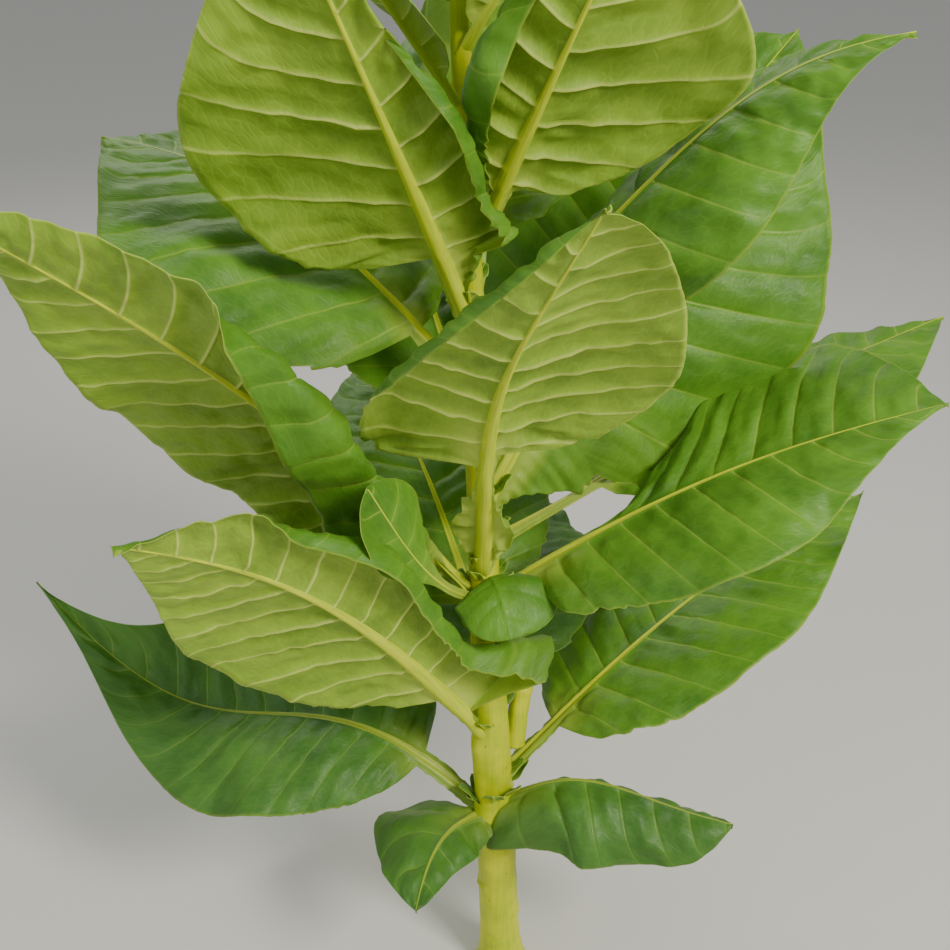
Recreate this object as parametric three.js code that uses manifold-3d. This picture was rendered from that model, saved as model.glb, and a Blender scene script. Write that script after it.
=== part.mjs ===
// A tobacco plant rooted in the ground: one leaning stem with broad leaves set round it in a spiral.
// Millimetres, +Z up. The origin is the middle of the flat cut under the stem, at ground level.
// +X is the plant's right hand side as seen from its front, and +Y runs to its back.
import * as THREE from 'three';
import { mergeVertices } from 'three/addons/utils/BufferGeometryUtils.js';
import Module from 'manifold-3d';

const wasm = await Module();
wasm.setup();

// Stem: its height, its lean towards -X, and its radius at heights from the root flare to the tip
const STEM_HEIGHT = 1062;
const STEM_LEAN = -0.042;
const STEM_SIDES = 20;
const STEM_PROFILE = [
  { height: 0, radius: 26 },
  { height: 10, radius: 22 },
  { height: 30, radius: 19 },
  { height: 60, radius: 18 },
  { height: 240, radius: 16.5 },
  { height: 450, radius: 11.5 },
  { height: 870, radius: 6.2 },
  { height: STEM_HEIGHT, radius: 3.6 },
];

// Every leaf keeps this clear of the stem
const SEAT_GAP = 0.3;

// What every leaf shares: the blade's half thickness as a share of the leaf's length, and the midrib's
// radius at the stem, its least radius, how fast it tapers and its half width in radii
const PLATE_SHARE = 0.0055;
const RIB_RADIUS_AT_STEM = 6.5;
const RIB_RADIUS_LEAST = 1.2;
const RIB_TAPER = 0.8;
const RIB_WIDTH = 1.3;

// The narrow wings beside a petiole, the tip's half width, how far along a leaf an ear spreads and how
// it grows towards the margin, how soon past the petiole the margin ripples, and how long a change of
// curl takes
const PETIOLE_WING = 9;
const TIP_HALF_WIDTH = 3;
const EAR_SPREAD = 0.06;
const CLASP_POWER = 1.5;
const RIPPLE_ONSET = 0.25;
const CURL_CHANGE = 0.3;

// How fine the bodies are: rows crowd towards the stem, and a half is bent in this many steps
const ROW_CROWDING = 1.2;
const HALF_STEPS = 24;
const MIDRIB_STEPS = 60;
const TANGENT_STEP = 1e-3;

// The young bud at the tip, with its radius at shares of its length, and the cut side shoot in a low
// leaf's axil
const BUD = {
  length: 46,
  sides: 12,
  outline: [
    { share: 0.3, radius: 6.5 },
    { share: 0.6, radius: 5.2 },
    { share: 0.9, radius: 2.3 },
  ],
};
const SHOOT = { height: 240, azimuth: 38, length: 60, lean: 9, foot: 9.5, top: 8.5, clear: 1.2, sides: 14 };

// One side of a blade, seen from the stem towards the tip. Angles are in degrees, and a pair runs
// from the leaf's base to its tip.
//   lift   how far the half rises from the midrib's own plane
//   curl   how far it bends back down between the midrib and the margin
//   fold   where across the half the bend is centred, from 0 at the midrib to 1 at the margin
//   span   how much of the half the bend takes
//   until  how far along the leaf the base's curl lasts, or null where it eases all the way
//   wide   the half's width as a share of its usual width
//   wing   the half's width beside the petiole
//   ear    an extra lobe near the base, its place along the leaf, and how far it reaches back
const PLAIN_HALF = {
  lift: [15, 5],
  curl: [30, 30],
  fold: [0.5, 0.5],
  span: 1,
  until: null,
  wide: 1,
  wing: PETIOLE_WING,
  ear: 0,
  earAt: 0.05,
  earSpread: EAR_SPREAD,
  clasp: 0,
};

// A leaf leaves the stem's axis at height, towards azimuth. reach and rise place its tip.
//   bow, kick    how far the midrib arches up from the straight line, once and as an S
//   sway         how far it arches to the left
//   petiole      the share of the leaf before the blade opens
//   crest        where the blade is widest
//   blunt, point how full the blade is towards its base and how drawn out towards its tip
//   roll         how far the blade turns its left half up
//   wave, waves  how far the margin ripples, and how many ripples the leaf has
//   ribScale     the midrib's radius as a share of the usual
const PLAIN_LEAF = {
  bow: 0,
  kick: 0,
  sway: 0,
  petiole: 0.14,
  crest: 0.42,
  blunt: 0.6,
  point: 1.1,
  roll: [0, 0],
  wave: 5,
  waves: 2.6,
  ribScale: 1,
  rows: 12,
  columns: 8,
  left: {},
  right: {},
};

const LEAVES = [
  {
    name: 'leaf_01_front_left', height: 176, azimuth: -126, reach: 120, rise: -18, width: 105,
    bow: 16, sway: -14, petiole: 0.1, rows: 9,
    left: { lift: [0, 0], curl: [40, 40], wide: 0.5 },
    right: { lift: [0, 0], curl: [30, 30], wide: 1.3 },
  },
  {
    name: 'leaf_02_low_right', height: 186, azimuth: -16, reach: 211, rise: 24, width: 126,
    bow: 30, kick: 8, petiole: 0.06, blunt: 0.4, point: 0.6, roll: [15, 10], rows: 10,
    left: { lift: [-50, -40], curl: [40, 20], wide: 0.8 },
    right: { lift: [-10, -20], curl: [60, 60], wide: 1.1 },
  },
  {
    name: 'leaf_03_low_left', height: 180, azimuth: 164, reach: 445, rise: 164, width: 215,
    bow: -18, kick: 38, petiole: 0.16, point: 1.9, roll: [-5, -10],
    left: { lift: [0, 0], curl: [40, 30], wide: 0.95 },
    right: { lift: [10, 70], curl: [20, 20], wide: 1.4 },
  },
  {
    name: 'leaf_04_low_right_back', height: 205, azimuth: 29, reach: 411, rise: 195, width: 200,
    bow: 34, petiole: 0.16,
  },
  {
    name: 'leaf_05_low_back', height: 266, azimuth: 84, reach: 350, rise: 60, width: 176,
    bow: 50,
  },
  {
    name: 'leaf_06_left_front', height: 255, azimuth: -141, reach: 319, rise: 300, width: 265,
    bow: 45, petiole: 0.16, point: 1.2, roll: [40, 50], columns: 12,
    left: {
      lift: [26, 0], curl: [130, 20], fold: [0.95, 0.65], span: 0.3, until: 0.75,
      wide: 0.85, ear: 72, earAt: 0.06,
    },
    right: { lift: [0, 0], curl: [20, 10], wide: 0.85 },
  },
  {
    name: 'leaf_07_back', height: 342, azimuth: 112, reach: 330, rise: 150, width: 230,
    bow: 40, petiole: 0.12,
  },
  {
    name: 'leaf_08_right', height: 397, azimuth: 0, reach: 359, rise: 176, width: 230,
    bow: 15, petiole: 0.12, point: 1.5, crest: 0.4, blunt: 0.8, roll: [14, 15],
    left: { lift: [10, 10], curl: [20, 20], wide: 1.25 },
    right: { lift: [12, 0], curl: [40, 30], wide: 0.58, wing: 24, ear: 16, clasp: 28 },
  },
  {
    name: 'leaf_09_left_front', height: 400, azimuth: -147, reach: 372, rise: 369, width: 280,
    bow: 26, point: 1.1, roll: [35, 35], columns: 12,
    left: {
      lift: [10, 5], curl: [165, 10], fold: [0.3, 0.62], span: 0.35, until: 0.65,
      ear: 50, earAt: 0.15,
    },
    right: { lift: [0, 0], curl: [20, 10], wide: 0.72 },
  },
  {
    name: 'leaf_10_front', height: 421, azimuth: -76, reach: 258, rise: 364, width: 232,
    bow: 30, kick: 8, sway: -22, petiole: 0.31, crest: 0.33, blunt: 0.35, roll: [-5, 0],
    left: { lift: [15, 5], curl: [30, 30], wide: 1.12, wing: 16 },
    right: { lift: [10, 10], curl: [110, 110], fold: [0.9, 0.9], span: 0.3, wide: 0.68, wing: 16 },
  },
  {
    name: 'leaf_11_right', height: 462, azimuth: 30, reach: 510, rise: 110, width: 175,
    bow: 68, petiole: 0.22, roll: [0, 6],
    left: { lift: [0, 0], curl: [30, 30] },
    right: { lift: [8, 5], curl: [20, 20] },
  },
  {
    name: 'leaf_12_right_back', height: 478, azimuth: 37, reach: 331, rise: 350, width: 290,
    bow: 30, petiole: 0.18, blunt: 0.45, roll: [30, 30],
    left: { lift: [10, 5], curl: [20, 20] },
    right: { lift: [0, 0], curl: [20, 20], wide: 1.1 },
  },
  {
    name: 'leaf_13_back', height: 512, azimuth: 108, reach: 300, rise: 150, width: 190,
    bow: 35,
  },
  {
    name: 'leaf_14_left_back', height: 582, azimuth: 154, reach: 343, rise: 167, width: 300,
    bow: 45, petiole: 0.15, point: 1.2, blunt: 0.5,
    left: { lift: [-5, 0], curl: [20, 20], wide: 1.1 },
    right: { lift: [10, 5], curl: [20, 20], wide: 0.9 },
  },
  {
    name: 'leaf_15_right', height: 605, azimuth: -8, reach: 293, rise: 247, width: 176,
    bow: 42, kick: -8, petiole: 0.15, point: 1.4, crest: 0.38, roll: [15, 15],
    left: { lift: [10, 5], curl: [60, 50], wide: 0.8 },
    right: { lift: [-15, -5], curl: [80, 40] },
  },
  {
    name: 'leaf_16_front_left', height: 630, azimuth: -127, reach: 188, rise: 323, width: 250,
    bow: 5, petiole: 0.2, blunt: 0.42, roll: [28, 28],
    left: { lift: [15, 5], curl: [120, 120], fold: [0.85, 0.85], span: 0.3, wide: 0.5 },
    right: { lift: [5, 5], curl: [20, 20], wide: 1.05 },
  },
  {
    name: 'leaf_17_back', height: 655, azimuth: 84, reach: 240, rise: 230, width: 180,
    bow: 30,
  },
  {
    name: 'leaf_18_front_right', height: 690, azimuth: -54, reach: 173, rise: 258, width: 215,
    bow: 0, petiole: 0.22, blunt: 0.5, crest: 0.55, roll: [-25, -25], columns: 12,
    left: { lift: [5, 5], curl: [20, 20], wide: 1.1 },
    right: { lift: [15, 5], curl: [170, 170], fold: [0.7, 0.7], span: 0.35, wide: 0.74 },
  },
];

// Above the leaves placed one by one, the young leaves carry on the spiral and shrink towards the bud
const YOUNG = {
  count: 9,
  firstHeight: 745,
  lastHeight: 1012,
  firstAzimuth: 60,
  turn: 137.5,
  firstReach: 205,
  lastReach: 34,
  firstRise: 215,
  lastRise: 92,
  firstWidth: 150,
  lastWidth: 36,
  firstBow: 20,
  lastBow: 4,
  firstWave: 4,
  lastWave: 1,
  firstRib: 0.75,
  lastRib: 0.35,
  petiole: 0.1,
  shrinking: 0.85,
  climbing: 0.8,
  rows: 9,
  columns: 6,
  half: { lift: [20, 10], curl: [25, 25] },
};

const LEAF_GREEN = '#4c7a26';
const STEM_GREEN = '#a7ad3c';
const YOUNG_GREEN = '#86a83a';

const UP = new THREE.Vector3(0, 0, 1);

// Plain maths shared by the leaves

function lerpPair(pair, share) {
  return pair[0] + (pair[1] - pair[0]) * share;
}

function smooth(value) {
  const x = Math.min(1, Math.max(0, value));
  return x * x * (3 - 2 * x);
}

function heading(azimuth) {
  const angle = THREE.MathUtils.degToRad(azimuth);
  return new THREE.Vector3(Math.cos(angle), Math.sin(angle), 0);
}

function stemAxis(height) {
  return new THREE.Vector3(STEM_LEAN * height, 0, height);
}

// The stem is a lathe of its radii, with every level slid sideways by the lean

function stemGeometry(growth) {
  const points = [new THREE.Vector2(0, 0)];
  for (const { height, radius } of STEM_PROFILE) {
    points.push(new THREE.Vector2(radius + growth, height));
  }
  points.push(new THREE.Vector2(0, STEM_HEIGHT));
  const geometry = new THREE.LatheGeometry(points, STEM_SIDES);
  geometry.rotateX(Math.PI / 2);
  leanWithStem(geometry);
  return geometry;
}

function leanWithStem(geometry) {
  const place = geometry.attributes.position;
  for (let i = 0; i < place.count; i += 1) {
    place.setX(i, place.getX(i) + STEM_LEAN * place.getZ(i));
  }
}

// Closed bodies and booleans

function solidOf(geometry) {
  const bare = geometry.clone();
  bare.deleteAttribute('normal');
  bare.deleteAttribute('uv');
  const merged = mergeVertices(bare, 1e-4);
  const vertProperties = new Float32Array(merged.attributes.position.array);
  const triVerts = new Uint32Array(merged.index.array);
  return new wasm.Manifold(new wasm.Mesh({ numProp: 3, vertProperties, triVerts }));
}

function geometryOf(solid) {
  const mesh = solid.getMesh();
  const geometry = new THREE.BufferGeometry();
  geometry.setAttribute('position', new THREE.BufferAttribute(mesh.vertProperties, 3));
  geometry.setIndex(new THREE.BufferAttribute(mesh.triVerts, 1));
  geometry.computeVertexNormals();
  return geometry;
}

function largestPiece(solid) {
  const pieces = solid.decompose();
  pieces.sort((a, b) => b.volume() - a.volume());
  return pieces[0];
}

// A leaf's midrib: a straight line from the stem to the tip, arched up and sideways

function midribPoint(leaf, t) {
  const base = stemAxis(leaf.height);
  const out = heading(leaf.azimuth);
  const left = heading(leaf.azimuth + 90);
  const arch = Math.sin(Math.PI * t);
  const double = Math.sin(2 * Math.PI * t);
  base.addScaledVector(out, leaf.reach * t);
  base.addScaledVector(left, leaf.sway * arch);
  base.z += leaf.rise * t + leaf.bow * arch + leaf.kick * double;
  return base;
}

function midribLength(leaf) {
  let length = 0;
  for (let i = 0; i < MIDRIB_STEPS; i += 1) {
    const start = midribPoint(leaf, i / MIDRIB_STEPS);
    length += start.distanceTo(midribPoint(leaf, (i + 1) / MIDRIB_STEPS));
  }
  return length;
}

// The midrib's place at t with the blade's own axes: along the midrib, to the left and out of its face

function midribFrame(leaf, t) {
  const ahead = midribPoint(leaf, t + TANGENT_STEP);
  const along = ahead.sub(midribPoint(leaf, t - TANGENT_STEP)).normalize();
  const flatLeft = new THREE.Vector3().crossVectors(UP, along).normalize();
  const flatFace = new THREE.Vector3().crossVectors(along, flatLeft);
  const roll = THREE.MathUtils.degToRad(lerpPair(leaf.roll, t));
  const left = flatLeft.clone().multiplyScalar(Math.cos(roll)).addScaledVector(flatFace, Math.sin(roll));
  const face = flatFace.clone().multiplyScalar(Math.cos(roll)).addScaledVector(flatLeft, -Math.sin(roll));
  return { place: midribPoint(leaf, t), along, left, face };
}

// How much of the blade is open at t, from 0 at the petiole's end to 1 where it is widest

function bladeShare(leaf, t) {
  const u = Math.max(0, (t - leaf.petiole) / (1 - leaf.petiole));
  if (u <= 0 || u >= 1) return { u, share: 0 };
  const power = Math.log(0.5) / Math.log(leaf.crest);
  const fullness = u < leaf.crest ? leaf.blunt : leaf.point;
  return { u, share: Math.sin(Math.PI * u ** power) ** fullness };
}

// The bend of one half at v, from 0 at the midrib to 1 at the margin

function halfAngle(half, t, v) {
  const eased = half.until === null ? t : smooth((t - half.until) / CURL_CHANGE + 0.5);
  const lift = THREE.MathUtils.degToRad(lerpPair(half.lift, t));
  const curl = THREE.MathUtils.degToRad(lerpPair(half.curl, eased));
  const fold = lerpPair(half.fold, t);
  return lift - curl * smooth((v - fold + half.span / 2) / half.span);
}

// A point of the leaf's middle surface with its normal and the half thickness there. across runs
// from -1 at the right margin over 0 at the midrib to 1 at the left margin.

function leafSpot(leaf, length, t, across) {
  const { place, along, left, face } = midribFrame(leaf, t);
  const side = across < 0 ? -1 : 1;
  const half = side > 0 ? leaf.left : leaf.right;
  const v = Math.abs(across);
  const { u, share } = bladeShare(leaf, t);
  const nearEar = Math.exp(-(((t - half.earAt) / half.earSpread) ** 2));
  const bare = Math.max(half.wing * (1 - u), TIP_HALF_WIDTH);
  const width = bare + (leaf.width / 2) * share * half.wide + half.ear * nearEar;
  const stride = (v * width) / HALF_STEPS;
  for (let i = 0; i < HALF_STEPS; i += 1) {
    const angle = halfAngle(half, t, (v * (i + 0.5)) / HALF_STEPS);
    place.addScaledVector(left, side * stride * Math.cos(angle));
    place.addScaledVector(face, stride * Math.sin(angle));
  }
  const bend = v > 0 ? halfAngle(half, t, v) : 0;
  const normal = face.clone().multiplyScalar(Math.cos(bend)).addScaledVector(left, -side * Math.sin(bend));
  const ripple = Math.sin(2 * Math.PI * leaf.waves * t) * Math.min(1, u / RIPPLE_ONSET);
  place.addScaledVector(normal, leaf.wave * v * v * ripple);
  place.addScaledVector(along, -half.clasp * nearEar * v ** CLASP_POWER);
  const ribAtStem = RIB_RADIUS_AT_STEM * leaf.ribScale;
  const rib = Math.max(ribAtStem * (1 - t) ** RIB_TAPER, RIB_RADIUS_LEAST);
  const offRib = Math.min(1, (v * width) / (rib * RIB_WIDTH));
  const thickness = Math.max(length * PLATE_SHARE, rib * Math.sqrt(1 - offRib * offRib));
  return { place, normal, thickness };
}

// A leaf is a flat box of rows and columns bent to the leaf's surface, then cut clear of the stem

function leafSolid(leaf) {
  const length = midribLength(leaf);
  const box = new THREE.BoxGeometry(1, 1, 1, leaf.rows, leaf.columns, 1);
  const spots = box.attributes.position;
  for (let i = 0; i < spots.count; i += 1) {
    const t = (spots.getX(i) + 0.5) ** ROW_CROWDING;
    const { place, normal, thickness } = leafSpot(leaf, length, t, spots.getY(i) * 2);
    place.addScaledVector(normal, Math.sign(spots.getZ(i)) * thickness);
    spots.setXYZ(i, place.x, place.y, place.z);
  }
  return largestPiece(solidOf(box).subtract(stemClearance));
}

// The young leaves' sizes run evenly from the first to the last

function youngLeaf(index) {
  const share = index / (YOUNG.count - 1);
  const size = (first, last) => THREE.MathUtils.lerp(first, last, share ** YOUNG.shrinking);
  const number = LEAVES.length + index + 1;
  return {
    name: `leaf_${number}_young`,
    height: THREE.MathUtils.lerp(YOUNG.firstHeight, YOUNG.lastHeight, share ** YOUNG.climbing),
    azimuth: YOUNG.firstAzimuth + YOUNG.turn * index,
    reach: size(YOUNG.firstReach, YOUNG.lastReach),
    rise: size(YOUNG.firstRise, YOUNG.lastRise),
    width: size(YOUNG.firstWidth, YOUNG.lastWidth),
    bow: size(YOUNG.firstBow, YOUNG.lastBow),
    petiole: YOUNG.petiole,
    wave: size(YOUNG.firstWave, YOUNG.lastWave),
    ribScale: size(YOUNG.firstRib, YOUNG.lastRib),
    rows: YOUNG.rows,
    columns: YOUNG.columns,
    left: YOUNG.half,
    right: YOUNG.half,
  };
}

function completed(leaf) {
  const whole = { ...PLAIN_LEAF, ...leaf };
  whole.left = { ...PLAIN_HALF, ...leaf.left };
  whole.right = { ...PLAIN_HALF, ...leaf.right };
  return whole;
}

// The bud stands on the stem's tip: a pointed spindle of folded leaves

function budGeometry() {
  const foot = STEM_PROFILE[STEM_PROFILE.length - 1].radius;
  const points = [new THREE.Vector2(0, 0), new THREE.Vector2(foot, 0)];
  for (const { share, radius } of BUD.outline) {
    points.push(new THREE.Vector2(radius, share * BUD.length));
  }
  points.push(new THREE.Vector2(0, BUD.length));
  const geometry = new THREE.LatheGeometry(points, BUD.sides);
  geometry.rotateX(Math.PI / 2);
  leanWithStem(geometry);
  const tip = stemAxis(STEM_HEIGHT + SEAT_GAP);
  geometry.translate(tip.x, tip.y, tip.z);
  return geometry;
}

// The cut side shoot rises beside the stem from the axil, with a flat cut on top

function shootSolid() {
  const { height, azimuth, length, lean, foot, top, clear, sides } = SHOOT;
  const geometry = new THREE.CylinderGeometry(top, foot, length, sides, 3);
  geometry.rotateX(Math.PI / 2);
  geometry.translate(0, 0, length / 2);
  geometry.rotateY(THREE.MathUtils.degToRad(lean));
  geometry.rotateZ(THREE.MathUtils.degToRad(azimuth));
  const out = stemRadiusAt(height) + foot - clear;
  const foothold = stemAxis(height).addScaledVector(heading(azimuth), out);
  geometry.translate(foothold.x, foothold.y, foothold.z);
  return largestPiece(solidOf(geometry).subtract(stemClearance));
}

function stemRadiusAt(height) {
  const above = STEM_PROFILE.findIndex((level) => level.height >= height);
  const upper = STEM_PROFILE[above];
  const lower = STEM_PROFILE[Math.max(0, above - 1)];
  const share = (height - lower.height) / Math.max(1e-6, upper.height - lower.height);
  return THREE.MathUtils.lerp(lower.radius, upper.radius, share);
}

// The plant

function addPart(group, name, geometry, color, roughness) {
  const material = new THREE.MeshStandardMaterial({ color, roughness, metalness: 0 });
  const mesh = new THREE.Mesh(geometry, material);
  mesh.name = name;
  group.add(mesh);
}

const stemClearance = solidOf(stemGeometry(SEAT_GAP));
const plant = new THREE.Group();

addPart(plant, 'stem', geometryOf(solidOf(stemGeometry(0))), STEM_GREEN, 0.55);
for (const leaf of LEAVES) {
  addPart(plant, leaf.name, geometryOf(leafSolid(completed(leaf))), LEAF_GREEN, 0.5);
}
for (let index = 0; index < YOUNG.count; index += 1) {
  const leaf = completed(youngLeaf(index));
  addPart(plant, leaf.name, geometryOf(leafSolid(leaf)), YOUNG_GREEN, 0.5);
}
addPart(plant, 'terminal_bud', geometryOf(solidOf(budGeometry())), YOUNG_GREEN, 0.6);
addPart(plant, 'cut_side_shoot', geometryOf(shootSolid()), STEM_GREEN, 0.6);

export default plant;
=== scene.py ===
"""A tobacco plant rooted in the ground: its stem, its spiral of broad leaves, the bud and a cut side shoot.

Each piece stands for the frame's node of the same name and grows by the same rule as that node's solid,
carried on to a thin blade with raised veins, puckers between them and ruffled margins. Lengths in the
classes are millimetres, and a mesh is turned to metres when it is made. +X is the plant's right hand
side as seen from its front, +Y runs to its back and +Z up.
"""

from __future__ import annotations

import logging
import math
from dataclasses import dataclass, field, replace
from enum import Enum, IntEnum

import bpy
import numpy as np
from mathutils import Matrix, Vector


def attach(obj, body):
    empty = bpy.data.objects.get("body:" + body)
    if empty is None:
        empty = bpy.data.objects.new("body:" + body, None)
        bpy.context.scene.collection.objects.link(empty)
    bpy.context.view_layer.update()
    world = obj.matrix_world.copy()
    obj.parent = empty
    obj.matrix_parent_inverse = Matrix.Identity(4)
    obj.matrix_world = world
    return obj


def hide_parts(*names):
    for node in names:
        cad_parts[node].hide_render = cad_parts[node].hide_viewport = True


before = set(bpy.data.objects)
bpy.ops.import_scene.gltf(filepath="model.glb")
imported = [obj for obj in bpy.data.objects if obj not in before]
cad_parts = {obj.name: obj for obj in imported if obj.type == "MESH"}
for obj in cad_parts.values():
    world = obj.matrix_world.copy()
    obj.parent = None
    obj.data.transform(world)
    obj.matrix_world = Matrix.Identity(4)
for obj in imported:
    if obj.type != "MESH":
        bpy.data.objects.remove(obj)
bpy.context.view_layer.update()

LOG = logging.getLogger("tobacco_plant")

Pair = tuple[float, float]
Triple = tuple[float, float, float]
Array = np.ndarray
Tree = bpy.types.NodeTree
Socket = bpy.types.NodeSocket

BODY = "root"
METRES_PER_MM = 0.001

STEM_HEIGHT = 1062.0
STEM_LEAN = -0.042
STEM_PROFILE: tuple[Pair, ...] = (
    (0, 26),
    (10, 22),
    (30, 19),
    (60, 18),
    (240, 16.5),
    (450, 11.5),
    (870, 6.2),
    (STEM_HEIGHT, 3.6),
)

# How every leaf grows, with the values of the solids' own rule
RIB_RADIUS_AT_STEM = 6.5
RIB_RADIUS_LEAST = 1.2
RIB_TAPER = 0.8
PETIOLE_WING = 9.0
TIP_HALF_WIDTH = 3.0
CLASP_POWER = 1.5
RIPPLE_ONSET = 0.25
CURL_CHANGE = 0.3
HALF_STEPS = 24
TANGENT_STEP = 1e-3
GOLDEN_TURN = 137.5

# The drawn tip is finer than the solid's from a place along the leaf on, by a share of its width
TIP_FINE_FROM = 0.94
TIP_FINE_OVER = 0.06
TIP_FINE_BY = 0.8

# How many places along a midrib give its length
LENGTH_STEPS = 200
UP = np.array([0.0, 0.0, 1.0])
# The knots along each side of a random plane, after which it repeats
NOISE_KNOTS = 64
# Added to a difference of two points, so that it has a direction where they are the same
NO_LENGTH = 1e-9


class Side(Enum):
    """The two halves of a blade, seen from the stem towards the tip."""

    LEFT = 1
    RIGHT = -1

    @property
    def seed(self) -> int:
        """How far its random planes are from the leaf's own number."""
        return 1000 if self is Side.LEFT else 2000

    @property
    def first_vein(self) -> float:
        """Where its side veins leave the midrib, as a share of the way from one row set to the next."""
        return LEFT_VEIN if self is Side.LEFT else RIGHT_VEIN


class Growth(Enum):
    """How old a leaf is, which sets its greens."""

    LOW = "low"
    GROWN = "grown"
    YOUNG = "young"


class Slot(Enum):
    """The record's material slots."""

    STEM = "stem"
    LEAF = "leaf"
    YOUNG_LEAF = "young_leaf"


def lerp(start: Array | float, end: Array | float, share: Array | float) -> Array | float:
    """Returns the value a share of the way from start to end."""
    return start + (end - start) * share


def smooth(value: Array | float) -> Array:
    """Returns a soft step: 0 below 0, 1 above 1 and an S between them."""
    x = np.clip(value, 0.0, 1.0)
    return x * x * (3 - 2 * x)


def bell(offset: Array, width: Array | float) -> Array:
    """Returns a soft bump: 1 where the offset is 0, and hardly any two widths away."""
    return np.exp(-((offset / width) ** 2))


def heading(azimuth: float) -> Array:
    """Returns the level direction at an azimuth in degrees, measured from +X towards +Y."""
    angle = math.radians(azimuth)
    return np.array([math.cos(angle), math.sin(angle), 0.0])


def stem_axis(height: float) -> Array:
    """Returns the middle of the stem at a height."""
    return np.array([STEM_LEAN * height, 0.0, height])


def stem_radius(height: Array | float) -> Array:
    """Returns the stem's radius at a height, without its knots."""
    heights, radii = zip(*STEM_PROFILE)
    return np.interp(height, heights, radii)


def unit(vectors: Array) -> Array:
    """Returns vectors scaled to length one."""
    return vectors / np.linalg.norm(vectors, axis=-1, keepdims=True)


def value_noise(seed: int, x: Array, y: Array) -> Array:
    """Gives smooth random values over a plane, one knot for each unit of x and y.

    Args:
        seed: Which random plane is read.
        x: First coordinate.
        y: Second coordinate, of the same shape.

    Returns:
        Values from -1 to 1.
    """
    table = np.random.default_rng(seed).uniform(-1, 1, (NOISE_KNOTS, NOISE_KNOTS))
    column, row = np.floor(x).astype(int), np.floor(y).astype(int)
    across, up = smooth(x - column), smooth(y - row)
    left, right = column % NOISE_KNOTS, (column + 1) % NOISE_KNOTS
    near, far = (
        lerp(table[left, level], table[right, level], across)
        for level in (row % NOISE_KNOTS, (row + 1) % NOISE_KNOTS)
    )
    return lerp(near, far, up)


def srgb(colour: str) -> tuple[float, float, float, float]:
    """Turns a colour written as sRGB hex to the linear RGBA that shader sockets take."""
    channels = [int(colour[i : i + 2], 16) / 255 for i in (1, 3, 5)]
    linear = [c / 12.92 if c <= 0.04045 else ((c + 0.055) / 1.055) ** 2.4 for c in channels]
    return (*linear, 1.0)


@dataclass
class Patch:
    """Some faces of a piece that share a finish.

    Attributes:
        faces: Point numbers, one row for each face.
        finish: Which of the piece's materials they take.
        maps: For each UV map's name, one coordinate pair for each corner.
    """

    faces: Array
    finish: int
    maps: dict[str, Array] = field(default_factory=dict)


def make_piece(
    name: str,
    node: str,
    points: Array,
    patches: list[Patch],
    finishes: list[bpy.types.Material],
) -> bpy.types.Object:
    """Makes one smooth mesh object, puts it on the plant's body and lets it stand for its node.

    Args:
        name: The new object's name.
        node: The frame's node that it stands for.
        points: Its points in millimetres.
        patches: Its faces.
        finishes: Its materials, in the order that the patches number them.

    Returns:
        The object, linked to the scene.
    """
    mesh = bpy.data.meshes.new(name)
    mesh.vertices.add(len(points))
    mesh.vertices.foreach_set("co", (points * METRES_PER_MM).astype(np.float32).ravel())
    corners = np.concatenate([patch.faces.ravel() for patch in patches])
    sizes = np.concatenate([np.full(len(p.faces), p.faces.shape[1]) for p in patches])
    mesh.loops.add(len(corners))
    mesh.loops.foreach_set("vertex_index", corners.astype(np.int32))
    mesh.polygons.add(len(sizes))
    starts = np.concatenate([[0], np.cumsum(sizes)[:-1]])
    mesh.polygons.foreach_set("loop_start", starts.astype(np.int32))
    mesh.update(calc_edges=True)
    finish_numbers = np.concatenate([np.full(len(p.faces), p.finish) for p in patches])
    mesh.polygons.foreach_set("material_index", finish_numbers.astype(np.int32))
    mesh.polygons.foreach_set("use_smooth", np.ones(len(sizes), dtype=bool))
    for map_name in patches[0].maps:
        layer = mesh.uv_layers.new(name=map_name, do_init=False)
        places = np.concatenate([patch.maps[map_name].reshape(-1, 2) for patch in patches])
        layer.uv.foreach_set("vector", places.astype(np.float32).ravel())
    for material in finishes:
        mesh.materials.append(material)
    mesh.validate()
    piece = bpy.data.objects.new(name, mesh)
    bpy.context.scene.collection.objects.link(piece)
    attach(piece, BODY)
    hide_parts(node)
    LOG.info("%s: %d points, %d faces", name, len(points), len(sizes))
    return piece


def cell_corners(grid: Array, flip: bool, axis: int) -> Array:
    """Stacks the corners of each cell between the rows and columns of a grid.

    Both ways round start at the same corner, so that the cells on a blade's two faces fold along the
    same diagonal and one face can't come through the other.

    Args:
        grid: Values in rows and columns.
        flip: Whether the cells turn to the grid's other side.
        axis: The new axis that the four corners lie along.

    Returns:
        The values at the corners.
    """
    corners = [grid[:-1, :-1], grid[:-1, 1:], grid[1:, 1:], grid[1:, :-1]]
    if flip:
        corners[1], corners[3] = corners[3], corners[1]
    return np.stack(corners, axis=axis)


def grid_faces(numbers: Array, flip: bool = False) -> Array:
    """Returns four-cornered faces between the rows and columns of a grid of point numbers.

    Args:
        numbers: Point numbers in rows and columns.
        flip: Whether the faces turn to the grid's other side.

    Returns:
        One row of four point numbers for each face.
    """
    return cell_corners(numbers, flip, -1).reshape(-1, 4)


def grid_places(pairs: Array, flip: bool = False) -> Array:
    """Returns the coordinate pair at each corner of the faces that grid_faces gives the same grid."""
    return cell_corners(pairs, flip, -2).reshape(-1, 4, 2)


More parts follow.
